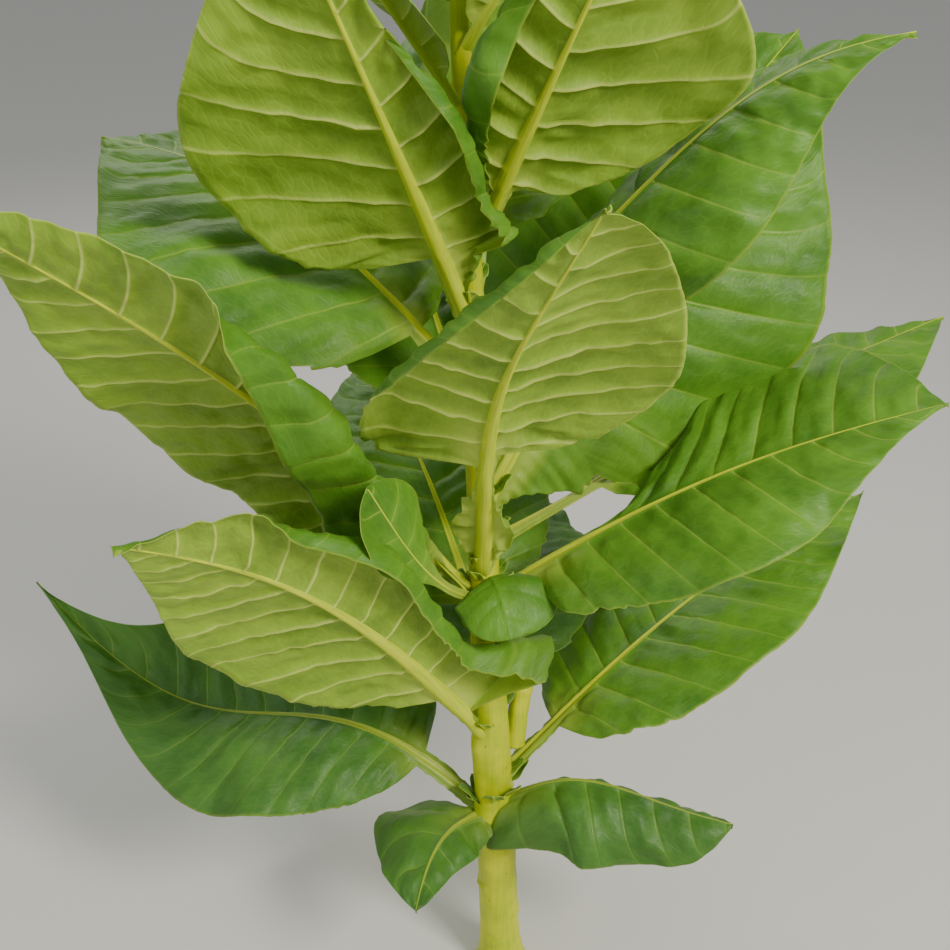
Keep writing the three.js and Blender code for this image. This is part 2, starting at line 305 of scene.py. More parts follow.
def rim_faces(upper: Array, lower: Array) -> list[Array]:
    """Returns the faces that close the four edges between a sheet's two layers of point numbers."""
    strips = (
        (upper[:, -1], lower[:, -1]),
        (lower[:, 0], upper[:, 0]),
        (upper[-1, ::-1], lower[-1, ::-1]),
        (lower[0, ::-1], upper[0, ::-1]),
    )
    return [grid_faces(np.stack(strip, axis=1)) for strip in strips]


def ring_numbers(rings: int, sides: int) -> tuple[Array, Array]:
    """Numbers the points of a round wall, ring by ring.

    Args:
        rings: How many rings it has.
        sides: How many points go round it.

    Returns:
        The point numbers in rows, and the same rows with their first number once more at the end.
    """
    numbers = np.arange(rings * sides).reshape(rings, sides)
    return numbers, np.concatenate([numbers, numbers[:, :1]], axis=1)


def add_node(tree: Tree, kind: str, inputs: dict | None = None, **settings) -> bpy.types.Node:
    """Adds a shader node with its settings, values and links.

    Args:
        tree: The node tree that it joins.
        kind: The node's type name, without the ShaderNode that it starts with.
        inputs: For each input's name or number, its value or the output socket that feeds it.
        **settings: The node's own settings.

    Returns:
        The node.
    """
    node = tree.nodes.new(f"ShaderNode{kind}")
    for setting, value in settings.items():
        setattr(node, setting, value)
    for socket, value in (inputs or {}).items():
        if isinstance(value, bpy.types.NodeSocket):
            tree.links.new(value, node.inputs[socket])
        else:
            node.inputs[socket].default_value = value
    return node


def calculate(tree: Tree, operation: str, *values: Socket | float, clamp: bool = False) -> Socket:
    """Adds a math node on some values or sockets, and returns its result's socket."""
    inputs = dict(enumerate(values))
    return add_node(tree, "Math", inputs, operation=operation, use_clamp=clamp).outputs[0]


def remap(tree: Tree, value: Socket, span: Pair, to: Pair = (0.0, 1.0), soft: bool = False) -> Socket:
    """Adds a node that turns one span of values to another.

    Args:
        tree: The node tree that it joins.
        value: The socket of the values.
        span: The values that turn to the first and the second of the new ones. Beyond them it is flat.
        to: The new values.
        soft: Whether it eases in and out.

    Returns:
        Its result's socket.
    """
    inputs = {0: value, 1: span[0], 2: span[1], 3: to[0], 4: to[1]}
    curve = "SMOOTHSTEP" if soft else "LINEAR"
    return add_node(tree, "MapRange", inputs, interpolation_type=curve).outputs[0]


def mix(tree: Tree, share: Socket, first: Socket | str, second: Socket | str) -> Socket:
    """Adds a node that mixes two colours, each a socket or sRGB hex, and returns its result's socket."""
    first, second = (srgb(colour) if isinstance(colour, str) else colour for colour in (first, second))
    return add_node(tree, "Mix", {"Factor": share, 6: first, 7: second}, data_type="RGBA").outputs[2]


def noise(tree: Tree, place: Socket, scale: float, detail: float, roughness: float = 0.5) -> bpy.types.Node:
    """Adds a noise node over the places that a socket gives."""
    inputs = {"Vector": place, "Scale": scale, "Detail": detail, "Roughness": roughness}
    return add_node(tree, "TexNoise", inputs)


def stretch(tree: Tree, place: Socket, scale: Triple) -> Socket:
    """Adds a node that scales places along each axis, and returns its result's socket."""
    return add_node(tree, "Mapping", {0: place, 3: scale}).outputs[0]


def press(tree: Tree, height: Socket, depth_mm: float = 1.0) -> Socket:
    """Adds a bump node of a depth in millimetres, and returns its normal's socket."""
    inputs = {"Height": height, "Distance": depth_mm * METRES_PER_MM}
    return add_node(tree, "Bump", inputs).outputs[0]


def per_metre(size_mm: float) -> float:
    """Returns the pattern scale at which one cell is as large as a size, in a map of metres."""
    return 1 / (size_mm * METRES_PER_MM)


def per_map(size_mm: float) -> float:
    """Returns the pattern scale at which one cell is as large as a size, in the blade map."""
    return BLADE_MAP_MM / size_mm


def new_material(name: str) -> tuple[bpy.types.Material, Tree]:
    """Starts a node material, and returns it with its empty tree."""
    material = bpy.data.materials.new(name)
    material.use_nodes = True
    material.node_tree.nodes.clear()
    return material, material.node_tree


def close_material(tree: Tree, colour: Socket | tuple, gloss: Socket, more: dict | None = None) -> None:
    """Ends a material in one Principled surface.

    Args:
        tree: The material's node tree.
        colour: Its colour.
        gloss: The socket of its roughness.
        more: Its other inputs.
    """
    inputs = {"Base Color": colour, "Roughness": gloss, **(more or {})}
    surface = add_node(tree, "BsdfPrincipled", inputs)
    add_node(tree, "OutputMaterial", {"Surface": surface.outputs[0]})


VEIN_MAP = "veins"
BLADE_MAP = "blade"
BAKE_MAP = "OFBake"
BLADE_MAP_MM = 100.0
# Keeps the blade map's places above zero
ROW_MAP_SHIFT = 400.0
# A count of side veins that is midway between two, where no pale line is drawn
BETWEEN_VEINS = 3.5

# Nearly all of a noise texture's values lie between these
NOISE_SPAN: Pair = (0.3, 0.7)
WHOLE_SPAN: Pair = (0.0, 1.0)

# The light index of watery plant tissue under its wax
TISSUE_IOR = 1.42
# The fine sticky hairs catch the green of what they stand on
DOWN_TINT = "#c9e07a"


def living_tissue(glow: float, depth_mm: Triple, down: float, spread: float) -> dict:
    """Gives the Principled inputs that all the plant's green skins share.

    Args:
        glow: How much light comes back out of the tissue.
        depth_mm: How far red, green and blue light travel in it. Chlorophyll stops the blue.
        down: How much its fine hairs veil it where it is seen at a slant.
        spread: How wide the hairs spread the light.

    Returns:
        A value for each input's name.
    """
    return {
        "IOR": TISSUE_IOR,
        "Subsurface Weight": glow,
        "Subsurface Radius": depth_mm,
        "Subsurface Scale": METRES_PER_MM,
        "Sheen Weight": down,
        "Sheen Roughness": spread,
        "Sheen Tint": srgb(DOWN_TINT),
    }


@dataclass(frozen=True)
class LaminaFinish:
    """One face of a living leaf blade.

    The waxy skin gives a soft broken gloss. Green tissue fills the fields between the veins, in patches
    of a painted shaded green and a painted sunlit green, and the veins hold no green, so they show as
    pale lines: the side veins, and between them a faint net of small ones, which press the skin into a
    fine quilt. The tissue is paler beside the veins, at the blade's base and on its margin. The blade is
    under a millimetre thick, so some light comes through.

    Attributes:
        name: The material's name.
        deep: The painted shaded green of the fields, the darkest.
        sunlit_green: The painted sunlit green of the fields, the lightest.
        vein: The side veins' colour.
        base: The colour of the wings beside the petiole.
        vein_mm: A side vein's half width at the midrib.
        vein_show: How clearly the side veins show.
        vein_fade: How much fainter they are near the margin.
        fade_span: Where across the half they fade.
        halo: How much paler the tissue is beside them.
        halo_mm: How wide that paler tissue is.
        spacing_mm: The distance between side veins that the vein map counts in.
        net_show: How clearly the net shows.
        net_mm: A field of the net, along the midrib and away from it.
        net_line: How wide the net's lines are, as a share of a field.
        wander_mm: The size of the net's bends, and how far they carry it.
        roughness: The skin's roughness.
        gloss_drift: How far the roughness drifts from that.
        grain_mm: The size of the skin's grain.
        grain_depth: How deep the grain is.
        quilt_mm: How deep the net is pressed into the face. Below zero it stands out.
        sunlit_patch_mm: The size of the patches of painted sunlit and shaded green.
        wing_mm: Where the pale wings beside the petiole start to turn green, and where they end.
        wing_rest: What is left of their paleness further out.
        wing_span: Their end and start in counts of side veins.
        wing_show: How clearly they show.
        rim_span: Where across the half the margin's thin pale rim starts, and where it is full.
        rim_show: How clearly it shows.
        translucence: How much light comes through.
        depth_mm: How far red, green and blue light travel in the blade.
        down: How much its fine sticky hairs veil it where it is seen at a slant.
        down_spread: How wide the hairs spread the light.
    """

    name: str
    deep: str
    sunlit_green: str
    vein: str
    base: str
    vein_mm: float
    vein_show: float
    vein_fade: float
    halo: float
    net_show: float
    roughness: float
    quilt_mm: float
    translucence: float
    down: float
    fade_span: Pair = (0.3, 0.95)
    halo_mm: float = 9.0
    spacing_mm: float = 32.0
    net_mm: Pair = (11.0, 6.5)
    net_line: float = 0.2
    wander_mm: Pair = (16.0, 9.0)
    gloss_drift: float = 0.08
    grain_mm: float = 2.5
    grain_depth: float = 0.25
    sunlit_patch_mm: float = 60.0
    wing_mm: Pair = (14.0, 30.0)
    wing_rest: float = 0.15
    wing_span: Pair = (1.2, -0.6)
    wing_show: float = 0.85
    rim_span: Pair = (0.975, 0.995)
    rim_show: float = 0.6
    depth_mm: Triple = (0.9, 1.6, 0.25)
    down_spread: float = 0.45

    def pale_lines(self, tree: Tree, phase: Socket, outward: Socket) -> list[Socket]:
        """Draws the side veins and the paler tissue beside them.

        Args:
            tree: The material's node tree.
            phase: The socket that counts side veins, a whole number on each.
            outward: The socket that runs from 0 at the midrib to 1 at the margin.

        Returns:
            The sockets of the vein's and the halo's masks.
        """
        away = calculate(tree, "PINGPONG", phase, 0.5)
        away_mm = calculate(tree, "MULTIPLY", away, self.spacing_mm)
        on_blade = calculate(tree, "GREATER_THAN", phase, -0.5)
        fading = remap(tree, outward, self.fade_span, (1.0, 1 - self.vein_fade))
        shown = calculate(tree, "MULTIPLY", on_blade, fading)
        masks = []
        for reach, show in ((self.vein_mm, self.vein_show), (self.halo_mm, self.halo)):
            drawn = remap(tree, away_mm, (0.0, reach), (show, 0.0), soft=True)
            masks.append(calculate(tree, "MULTIPLY", drawn, shown))
        return masks

    def net(self, tree: Tree, place: Socket) -> Socket:
        """Draws the net of small veins as the borders of cells, and returns its mask's socket."""
        bend_mm, carry_mm = self.wander_mm
        bends = noise(tree, place, per_map(bend_mm), detail=2.0).outputs["Color"]
        reach = (carry_mm / BLADE_MAP_MM, carry_mm / BLADE_MAP_MM, 0.0)
        drift = add_node(tree, "VectorMath", {0: bends, 1: reach}, operation="MULTIPLY").outputs[0]
        bent = add_node(tree, "VectorMath", {0: place, 1: drift}, operation="ADD").outputs[0]
        along, across = map(per_map, self.net_mm)
        cells = add_node(
            tree,
            "TexVoronoi",
            {"Vector": stretch(tree, bent, (along, across, 1.0)), "Scale": 1.0},
            feature="DISTANCE_TO_EDGE",
            voronoi_dimensions="2D",
        )
        return remap(tree, cells.outputs["Distance"], (0.0, self.net_line), (1.0, 0.0), soft=True)

    def paleness(self, tree: Tree, phase: Socket, outward: Socket, place: Socket) -> Socket:
        """Finds the wings beside the petiole and the margin's thin rim, and returns their mask's socket."""
        spot = add_node(tree, "SeparateXYZ", {0: place})
        aside = calculate(tree, "SUBTRACT", spot.outputs[1], ROW_MAP_SHIFT / BLADE_MAP_MM)
        away = calculate(tree, "ABSOLUTE", aside)
        near, far = (edge / BLADE_MAP_MM for edge in self.wing_mm)
        wing = remap(tree, away, (near, far), (1.0, self.wing_rest))
        early = remap(tree, phase, self.wing_span, (0.0, self.wing_show))
        base = calculate(tree, "MULTIPLY", wing, early)
        rim = remap(tree, outward, self.rim_span, (0.0, self.rim_show))
        return calculate(tree, "MAXIMUM", base, rim)

    def material(self) -> bpy.types.Material:
        """Builds the finish's node material."""
        made, tree = new_material(self.name)
        veins = add_node(tree, "SeparateXYZ", {0: add_node(tree, "UVMap", uv_map=VEIN_MAP).outputs[0]})
        phase, outward = veins.outputs[0], veins.outputs[1]
        place = add_node(tree, "UVMap", uv_map=BLADE_MAP).outputs[0]
        line, halo = self.pale_lines(tree, phase, outward)
        net = self.net(tree, place)

        # Painted sunlit and shaded greens lie over the blade in patches a few centimetres wide, with finer
        # mottling in them
        patches = noise(tree, place, per_map(self.sunlit_patch_mm), detail=6.0, roughness=0.65).outputs[0]
        sunlit_share = remap(tree, patches, NOISE_SPAN)
        lighter = calculate(tree, "ADD", sunlit_share, halo, clamp=True)
        green = mix(tree, lighter, self.deep, self.sunlit_green)
        tissue = mix(tree, self.paleness(tree, phase, outward, place), green, self.base)
        net_line = calculate(tree, "MULTIPLY", net, self.net_show)
        colour = mix(tree, calculate(tree, "MAXIMUM", line, net_line), tissue, self.vein)

        # The grain stands for the skin's cells, which are too fine to show, so it is drawn coarser
        grain = noise(tree, place, per_map(self.grain_mm), detail=3.0).outputs[0]
        gloss_range = (self.roughness - self.gloss_drift, self.roughness + self.gloss_drift)
        gloss = remap(tree, grain, NOISE_SPAN, gloss_range)
        sunk = calculate(tree, "MULTIPLY", net, -self.quilt_mm)
        height = calculate(tree, "MULTIPLY_ADD", grain, self.grain_depth, sunk)
        skin = living_tissue(self.translucence, self.depth_mm, self.down, self.down_spread)
        close_material(tree, colour, gloss, {"Normal": press(tree, height), **skin})
        return made


@dataclass(frozen=True)
class RibFinish:
    """The fleshy midrib and petiole: hardly any green in them, ridged lengthwise, with a fine down.

    Attributes:
        name: The material's name.
        light: The colour on the ridges.
        dark: The colour between them.
        strand_mm: The width of a ridge.
        strand_length: Its length in widths.
        groove_mm: How deep the grooves between ridges are.
        gloss: The roughness between the ridges and on them.
    """

    name: str
    light: str
    dark: str
    strand_mm: float = 1.6
    strand_length: float = 22.0
    groove_mm: float = 0.35
    gloss: Pair = (0.5, 0.36)

    def material(self) -> bpy.types.Material:
        """Builds the finish's node material."""
        made, tree = new_material(self.name)
        place = add_node(tree, "UVMap", uv_map=BLADE_MAP).outputs[0]
        across = per_map(self.strand_mm)
        drawn = stretch(tree, place, (across / self.strand_length, across, 1.0))
        strands = noise(tree, drawn, 1.0, detail=3.0).outputs[0]
        colour = mix(tree, remap(tree, strands, NOISE_SPAN), self.dark, self.light)
        gloss = remap(tree, strands, WHOLE_SPAN, self.gloss)
        flesh = living_tissue(glow=0.3, depth_mm=(1.6, 2.0, 0.5), down=0.12, spread=0.5)
        close_material(tree, colour, gloss, {"Normal": press(tree, strands, self.groove_mm), **flesh})
        return made


@dataclass(frozen=True)
class RindFinish:
    """The stem's green rind, smooth and juicy, with long fibres under it, a down and small dark specks.

    Attributes:
        name: The material's name.
        sunny: The painted sunlit yellow-green, on the fibres and in lighter clouds.
        shaded: The painted shaded green, between the fibres and in greener clouds.
        speck: The colour of the small corky specks.
        fibre_mm: The width and the length of the fibres' streaks.
        cloud_mm: The size of the clouds of painted sunlit and shaded rind.
        speck_mm: The width and the height of the cells that hold a speck or none.
        cloud_span: The sums of streaks and clouds that are all shaded and all sunny.
        speck_share: The share of cells with no speck.
        speck_size: A speck's full and its fading radius, in cells.
        speck_show: How clearly the specks show.
        groove_mm: How deep the grooves between fibres are.
        gloss: The roughness between the fibres and on them.
    """

    name: str
    sunny: str
    shaded: str
    speck: str
    fibre_mm: Pair = (2.381, 71.43)
    cloud_mm: float = 26.32
    speck_mm: Pair = (3.846, 9.091)
    cloud_span: Pair = (0.55, 0.95)
    speck_share: float = 0.8
    speck_size: Pair = (0.1, 0.22)
    speck_show: float = 0.75
    groove_mm: float = 0.3
    gloss: Pair = (0.52, 0.34)

    def material(self) -> bpy.types.Material:
        """Builds the finish's node material."""
        made, tree = new_material(self.name)
        place = add_node(tree, "TexCoord").outputs["Object"]
        across, along = map(per_metre, self.fibre_mm)
        fibres = noise(tree, stretch(tree, place, (across, across, along)), 1.0, detail=4.0).outputs[0]
        clouds = noise(tree, place, per_metre(self.cloud_mm), detail=3.0).outputs[0]
        both = calculate(tree, "MULTIPLY_ADD", fibres, 0.5, clouds)
        # The sunny and shaded colours are painted light and shade, the shade lying in the grooves between
        # the fibres and in clouds
        rind = mix(tree, remap(tree, both, self.cloud_span), self.shaded, self.sunny)
        across, along = map(per_metre, self.speck_mm)
        stretched = stretch(tree, place, (across, across, along))
        cells = add_node(tree, "TexVoronoi", {"Vector": stretched, "Scale": 1.0})
        few = calculate(tree, "GREATER_THAN", cells.outputs["Color"], self.speck_share)
        dot = remap(tree, cells.outputs["Distance"], self.speck_size, (self.speck_show, 0.0))
        colour = mix(tree, calculate(tree, "MULTIPLY", few, dot), rind, self.speck)
        gloss = remap(tree, fibres, WHOLE_SPAN, self.gloss)
        flesh = living_tissue(glow=0.25, depth_mm=(1.8, 2.2, 0.5), down=0.06, spread=0.5)
        close_material(tree, colour, gloss, {"Normal": press(tree, fibres, self.groove_mm), **flesh})
        return made


@dataclass(frozen=True)
class PithFinish:
    """A cut through a green shoot that has dried: pale spongy pith inside a browned ring.

    Attributes:
        name: The material's name.
        pith: The pith's colour.
        rim: The browned tissue's colour.
        pore_mm: The size of its pores.
        pore_depth_mm: Their depth.
        stain_mm: The size of its stains.
        stain_span: The noise values that are all pith and all browned.
        gloss: The pith's roughness and that of the browned tissue.
    """

    name: str = "dried_pith"
    pith: str = "#d8cf9a"
    rim: str = "#9a7346"
    pore_mm: float = 1.111
    pore_depth_mm: float = 0.5
    stain_mm: float = 6.25
    stain_span: Pair = (0.38, 0.62)
    gloss: Pair = (0.9, 0.7)

    def material(self) -> bpy.types.Material:
        """Builds the finish's node material."""
        made, tree = new_material(self.name)
        place = add_node(tree, "TexCoord").outputs["Object"]
        cells = {"Vector": place, "Scale": per_metre(self.pore_mm)}
        pores = add_node(tree, "TexVoronoi", cells, feature="DISTANCE_TO_EDGE")
        stain = noise(tree, place, per_metre(self.stain_mm), detail=3.0).outputs[0]
        colour = mix(tree, remap(tree, stain, self.stain_span), self.pith, self.rim)
        gloss = remap(tree, stain, WHOLE_SPAN, self.gloss)
        sunk = press(tree, pores.outputs["Distance"], self.pore_depth_mm)
        close_material(tree, colour, gloss, {"Normal": sunk})
        return made


@dataclass(frozen=True)
class LeafFinishes:
    """The three finishes of a leaf of one age: its upper face, its underside and its ribs."""

    upper: LaminaFinish
    under: LaminaFinish
    rib: RibFinish

    def materials(self) -> list[bpy.types.Material]:
        """Builds the three materials in the order that a leaf's patches number them."""
        return [self.upper.material(), self.under.material(), self.rib.material()]


# The deep and sunlit greens of each face, here and in each age's finishes below, are painted shaded and
# sunlit copies of its green
GROWN_UPPER = LaminaFinish(
    name="grown_leaf_upper_face",
    deep="#37690f",
    sunlit_green="#629420",
    vein="#9fb648",
    base="#97ad3a",
    vein_mm=1.3,
    vein_show=0.58,
    vein_fade=0.6,
    halo=0.3,
    net_show=0.05,
    roughness=0.53,
    quilt_mm=0.09,
    translucence=0.2,
    down=0.16,
)
GROWN_UNDER = LaminaFinish(
    name="grown_leaf_underside",
    deep="#66881b",
    sunlit_green="#92b130",
    vein="#cbd96c",
    base="#b2c44c",
    vein_mm=1.9,
    vein_show=0.85,
    vein_fade=0.3,
    halo=0.2,
    net_show=0.055,
    roughness=0.58,
    quilt_mm=-0.11,
    translucence=0.22,
    down=0.12,
)
GROWN_RIB = RibFinish(name="grown_midrib", light="#cfd92e", dark="#a9bb20")

FINISHES: dict[Growth, LeafFinishes] = {
    Growth.LOW: LeafFinishes(
        upper=replace(
            GROWN_UPPER, name="low_leaf_upper_face", deep="#2c5a17", sunlit_green="#4f8027", vein="#8ba645",
            base="#86a03a", vein_show=0.42,
        ),
        under=replace(GROWN_UNDER, name="low_leaf_underside", deep="#5c7a26", sunlit_green="#7f9c38"),
        rib=replace(GROWN_RIB, name="low_midrib", light="#adbe38", dark="#889f28"),
    ),
    Growth.GROWN: LeafFinishes(upper=GROWN_UPPER, under=GROWN_UNDER, rib=GROWN_RIB),
    Growth.YOUNG: LeafFinishes(
        upper=replace(GROWN_UPPER, name="young_leaf_upper_face", deep="#5a8817", sunlit_green="#88ad2a"),
        under=replace(GROWN_UNDER, name="young_leaf_underside", deep="#7c9b25", sunlit_green="#a2b93b"),
        rib=replace(GROWN_RIB, name="young_midrib", light="#cbd744", dark="#a9bd30"),
    ),
}

# Sunny and shaded are painted sunlit and shaded copies of the rind's yellow-green
STEM_RIND = RindFinish(name="green_rind", sunny="#cfd402", shaded="#a6b800", speck="#4d4720")


@dataclass(frozen=True)
class Half:
    """One side of a blade, seen from the stem towards the tip. Pairs run from the leaf's base to its tip.

    Attributes:
        lift: Degrees that the half rises from the midrib's own plane.
        curl: Degrees that it bends back down between the midrib and the margin.
        fold: Where across the half the bend is centred, from 0 at the midrib to 1 at the margin.
        span: How much of the half the bend takes.
        until: How far along the leaf the base's curl lasts, or None where it eases all the way.
        wide: The half's width as a share of its usual width.
        wing: The half's width beside the petiole.
        ear: An extra lobe near the base.
        ear_at: The lobe's place along the leaf.
        ear_spread: How far the lobe reaches along the leaf.
        ear_back: How much of that reach its side towards the stem takes.
        clasp: How far the lobe reaches back.
        frill: The width of the ruffled wing at the petiole's foot.
        frill_at: The wing's place along the leaf.
        frill_spread: How far it reaches along the leaf.
        crest: Where the half is widest, where it isn't the leaf's own.
        blunt: How full it is towards its base, where it isn't the leaf's own.
        point: How drawn out it is towards its tip, where it isn't the leaf's own.
    """

    lift: Pair = (15, 5)
    curl: Pair = (30, 30)
    fold: Pair = (0.5, 0.5)
    span: float = 1.0
    until: float | None = None
    wide: float = 1.0
    wing: float = PETIOLE_WING
    ear: float = 0.0
    ear_at: float = 0.05
    ear_spread: float = 0.06
    ear_back: float = 1.0
    clasp: float = 0.0
    frill: float = 0.0
    frill_at: float = 0.1
    frill_spread: float = 0.05
    crest: float | None = None
    blunt: float | None = None
    point: float | None = None

    def near_ear(self, t: Array) -> Array:
        """Returns how much of the extra lobe there is at t, from 0 to 1."""
        spread = self.ear_spread * np.where(t < self.ear_at, self.ear_back, 1.0)
        return bell(t - self.ear_at, spread)

    def angle(self, t: Array, v: Array) -> Array:
        """Returns the half's bend in radians at t along the leaf and v from the midrib to the margin."""
        eased = t if self.until is None else smooth((t - self.until) / CURL_CHANGE + 0.5)
        lift = np.radians(lerp(*self.lift, t))
        curl = np.radians(lerp(*self.curl, eased))
        fold = lerp(*self.fold, t)
        return lift - curl * smooth((v - fold + self.span / 2) / self.span)


@dataclass(frozen=True)
class Relief:
    """What stands out of a blade's middle surface, in millimetres.

    Attributes:
        plate: The blade's half thickness at the midrib.
        plate_edge: Its half thickness at the margin.
        vein: How far a side vein stands out of the underside at the midrib.
        vein_width: Its half width there.
        pucker: How far the field between two side veins bulges up.
        wrinkle: How far the wrinkles beside the side veins stand out.
        crumple: How far smaller bumps stand out.
        crumple_size: How wide those bumps are.
        sway: How far the blade wanders.
        sway_size: How wide one such wave is.
        wavy: How far the margin swings up and down.
        wavy_length: The length of one swing.
        frill: How far the margin of the base and the petiole's wings ruffles.
        frill_length: The length of one ruffle.
        tooth: How far the margin's blunt teeth stand out at the base, as a share of the width.
        tooth_length: The length of one tooth.
    """

    plate: float = 0.45
    plate_edge: float = 0.22
    vein: float = 1.7
    vein_width: float = 1.6
    pucker: float = 4.6
    wrinkle: float = 2.6
    crumple: float = 1.6
    crumple_size: float = 10.0
    sway: float = 4.5
    sway_size: float = 80.0
    wavy: float = 6.5
    wavy_length: float = 38.0
    frill: float = 4.0
    frill_length: float = 4.6
    tooth: float = 0.035
    tooth_length: float = 4.0


# The flaps at a leaf's foot are smaller and smoother than its blade
FLAP_RELIEF = Relief(
    vein=0.8, vein_width=1.1, pucker=1.5, wrinkle=0.9, crumple=0.5, sway=2.0, wavy=3.0, frill=1.5,
    tooth=0.02,
)

# Where the rows of points lie between one side vein and the next, close together beside each vein. The
# left veins leave the midrib at the first of these shares and the right ones at the second.
LEFT_VEIN = 0.3
RIGHT_VEIN = 0.8
GROWN_ROWS = (0.05, 0.18, 0.25, 0.3, 0.35, 0.42, 0.55, 0.68, 0.75, 0.8, 0.85, 0.92)
YOUNG_ROWS = (0.05, 0.22, 0.3, 0.38, 0.55, 0.72, 0.8, 0.88)
AXIL_ROWS = (0.05, 0.3, 0.55, 0.8)

# Columns beside the midrib, in rib radii, before those that share out the rest of the half, and how
# many of them have the rib's finish on the upper face and the underside
RIB_COLUMNS = (0.0, 0.35, 0.7, 0.95, 1.15)
RIB_EDGE = 1.15
UPPER_RIB = 2
LOWER_RIB = 4


@dataclass(frozen=True)
class Leaf:
    """A leaf: where it leaves the stem, where its tip lies and how its blade opens and bends.

    Attributes:
        node: The frame's node that it stands for.
        height: The height at which it leaves the stem's axis.
        azimuth: The direction that it leaves in, in degrees from +X towards +Y.
        reach: How far its tip lies from the stem's axis.
        rise: How far its tip lies above its foot.
        width: The blade's width.
        bow: How far the midrib arches up from the straight line.
        kick: How far it arches as an S.
        sway: How far it arches to the left.
        petiole: The share of the leaf before the blade opens.
        crest: Where the blade is widest.
        blunt: How full the blade is towards its base.
        point: How drawn out it is towards its tip.
        roll: How far the blade turns its left half up, in degrees.
        wave: How far the margin ripples.
        waves: How many ripples the leaf has.
        rib_scale: The midrib's radius as a share of the usual.
        left: The left half.
        right: The right half.
        growth: The leaf's age.
        vein_spacing: The distance between side veins.
        rows: Where rows of points lie between one side vein and the next.
        columns: How many columns of points a half has beside its rib.
        relief: What stands out of its surface.
        lobes: Leafy flaps that grow at its foot, each shaped as a small leaf of its own.
        plain: Whether it is green all over, with no pale ribs, as such a flap can be.
    """

    node: str
    height: float
    azimuth: float
    reach: float
    rise: float
    width: float
    bow: float = 0.0
    kick: float = 0.0
    sway: float = 0.0
    petiole: float = 0.14
    crest: float = 0.42
    blunt: float = 0.6
    point: float = 1.1
    roll: Pair = (0, 0)
    wave: float = 5.0
    waves: float = 2.6
    rib_scale: float = 1.0
    left: Half = Half()
    right: Half = Half()
    growth: Growth = Growth.GROWN
    vein_spacing: float = 32.0
    rows: tuple[float, ...] = GROWN_ROWS
    columns: int = 21
    relief: Relief = Relief()
    lobes: tuple[Leaf, ...] = ()
    plain: bool = False

    @property
    def seed(self) -> int:
        """The leaf's own random number, from its place on the stem."""
        return int(self.height * 7 + self.azimuth % 360)

    def half(self, side: Side) -> Half:
        """Returns the half on a side."""
        return self.left if side is Side.LEFT else self.right

    def midrib(self, t: Array) -> Array:
        """Returns the midrib's points at t, from 0 on the stem's axis to 1 at the tip."""
        t = t[..., None]
        arch = np.sin(np.pi * t)
        double = np.sin(2 * np.pi * t)
        level = heading(self.azimuth) * self.reach * t + heading(self.azimuth + 90) * self.sway * arch
        above = self.rise * t + self.bow * arch + self.kick * double
        return stem_axis(self.height) + level + UP * above

    def length(self) -> float:
        """Returns the midrib's length."""
        points = self.midrib(np.linspace(0, 1, LENGTH_STEPS))
        return float(np.linalg.norm(np.diff(points, axis=0), axis=1).sum())

    def axes(self, t: Array) -> tuple[Array, Array, Array]:
        """Returns the blade's own directions at t: along the midrib, to the left and out of its face."""
        along = unit(self.midrib(t + TANGENT_STEP) - self.midrib(t - TANGENT_STEP))
        flat_left = unit(np.cross(UP, along))
        flat_face = np.cross(along, flat_left)
        roll = np.radians(lerp(*self.roll, t))[..., None]
        left = flat_left * np.cos(roll) + flat_face * np.sin(roll)
        face = flat_face * np.cos(roll) - flat_left * np.sin(roll)
        return along, left, face

    def past_petiole(self, t: Array) -> Array:
        """Returns how far t is from the end of the petiole to the tip, from 0 to 1."""
        return np.clip((t - self.petiole) / (1 - self.petiole), 0.0, 1.0)

    def half_width(self, side: Side, t: Array) -> Array:
        """Returns the width of one half at t, which narrows to a fine point at the tip."""
        half = self.half(side)
        u = self.past_petiole(t)
        crest = half.crest or self.crest
        power = math.log(0.5) / math.log(crest)
        fullness = np.where(u < crest, half.blunt or self.blunt, half.point or self.point)
        share = np.clip(np.sin(np.pi * u**power), 0.0, 1.0) ** fullness
        fine = TIP_FINE_BY * smooth((t - TIP_FINE_FROM) / TIP_FINE_OVER)
        bare = half.frill * bell(t - half.frill_at, half.frill_spread)
        bare = bare + np.maximum(half.wing * (1 - u), TIP_HALF_WIDTH * (1 - fine))
        return bare + self.width / 2 * share * half.wide + half.ear * half.near_ear(t)

    def rib_radius(self, t: Array) -> Array:
        """Returns the midrib's radius at t."""
        return np.maximum(RIB_RADIUS_AT_STEM * self.rib_scale * (1 - t) ** RIB_TAPER, RIB_RADIUS_LEAST)

    def surface(self, side: Side, t: Array, v: Array) -> tuple[Array, Array, Array]:
        """Finds points of the leaf's middle surface on one half.

        Args:
            side: The half.
            t: Places along the leaf.
            v: Places from 0 at the midrib to 1 at the margin, of the same shape.

        Returns:
            The points, the directions out of the upper face there and the midrib's face direction.
        """
        half = self.half(side)
        along, left, face = self.axes(t)
        width = self.half_width(side, t)
        stride = (v * width / HALF_STEPS)[..., None]
        middles = (np.arange(HALF_STEPS) + 0.5) / HALF_STEPS
        angles = half.angle(t[..., None], v[..., None] * middles)
        sideways = left * side.value
        points = self.midrib(t)
        points = points + sideways * stride * np.cos(angles).sum(-1)[..., None]
        points = points + face * stride * np.sin(angles).sum(-1)[..., None]
        bend = half.angle(t, v)[..., None]
        normal = face * np.cos(bend) - sideways * np.sin(bend)
        u = self.past_petiole(t)
        ripple = np.sin(2 * np.pi * self.waves * t) * np.minimum(1, u / RIPPLE_ONSET)
        points = points + normal * (self.wave * v * v * ripple)[..., None]
        points = points - along * (half.clasp * half.near_ear(t) * v**CLASP_POWER)[..., None]
        return points, normal, face


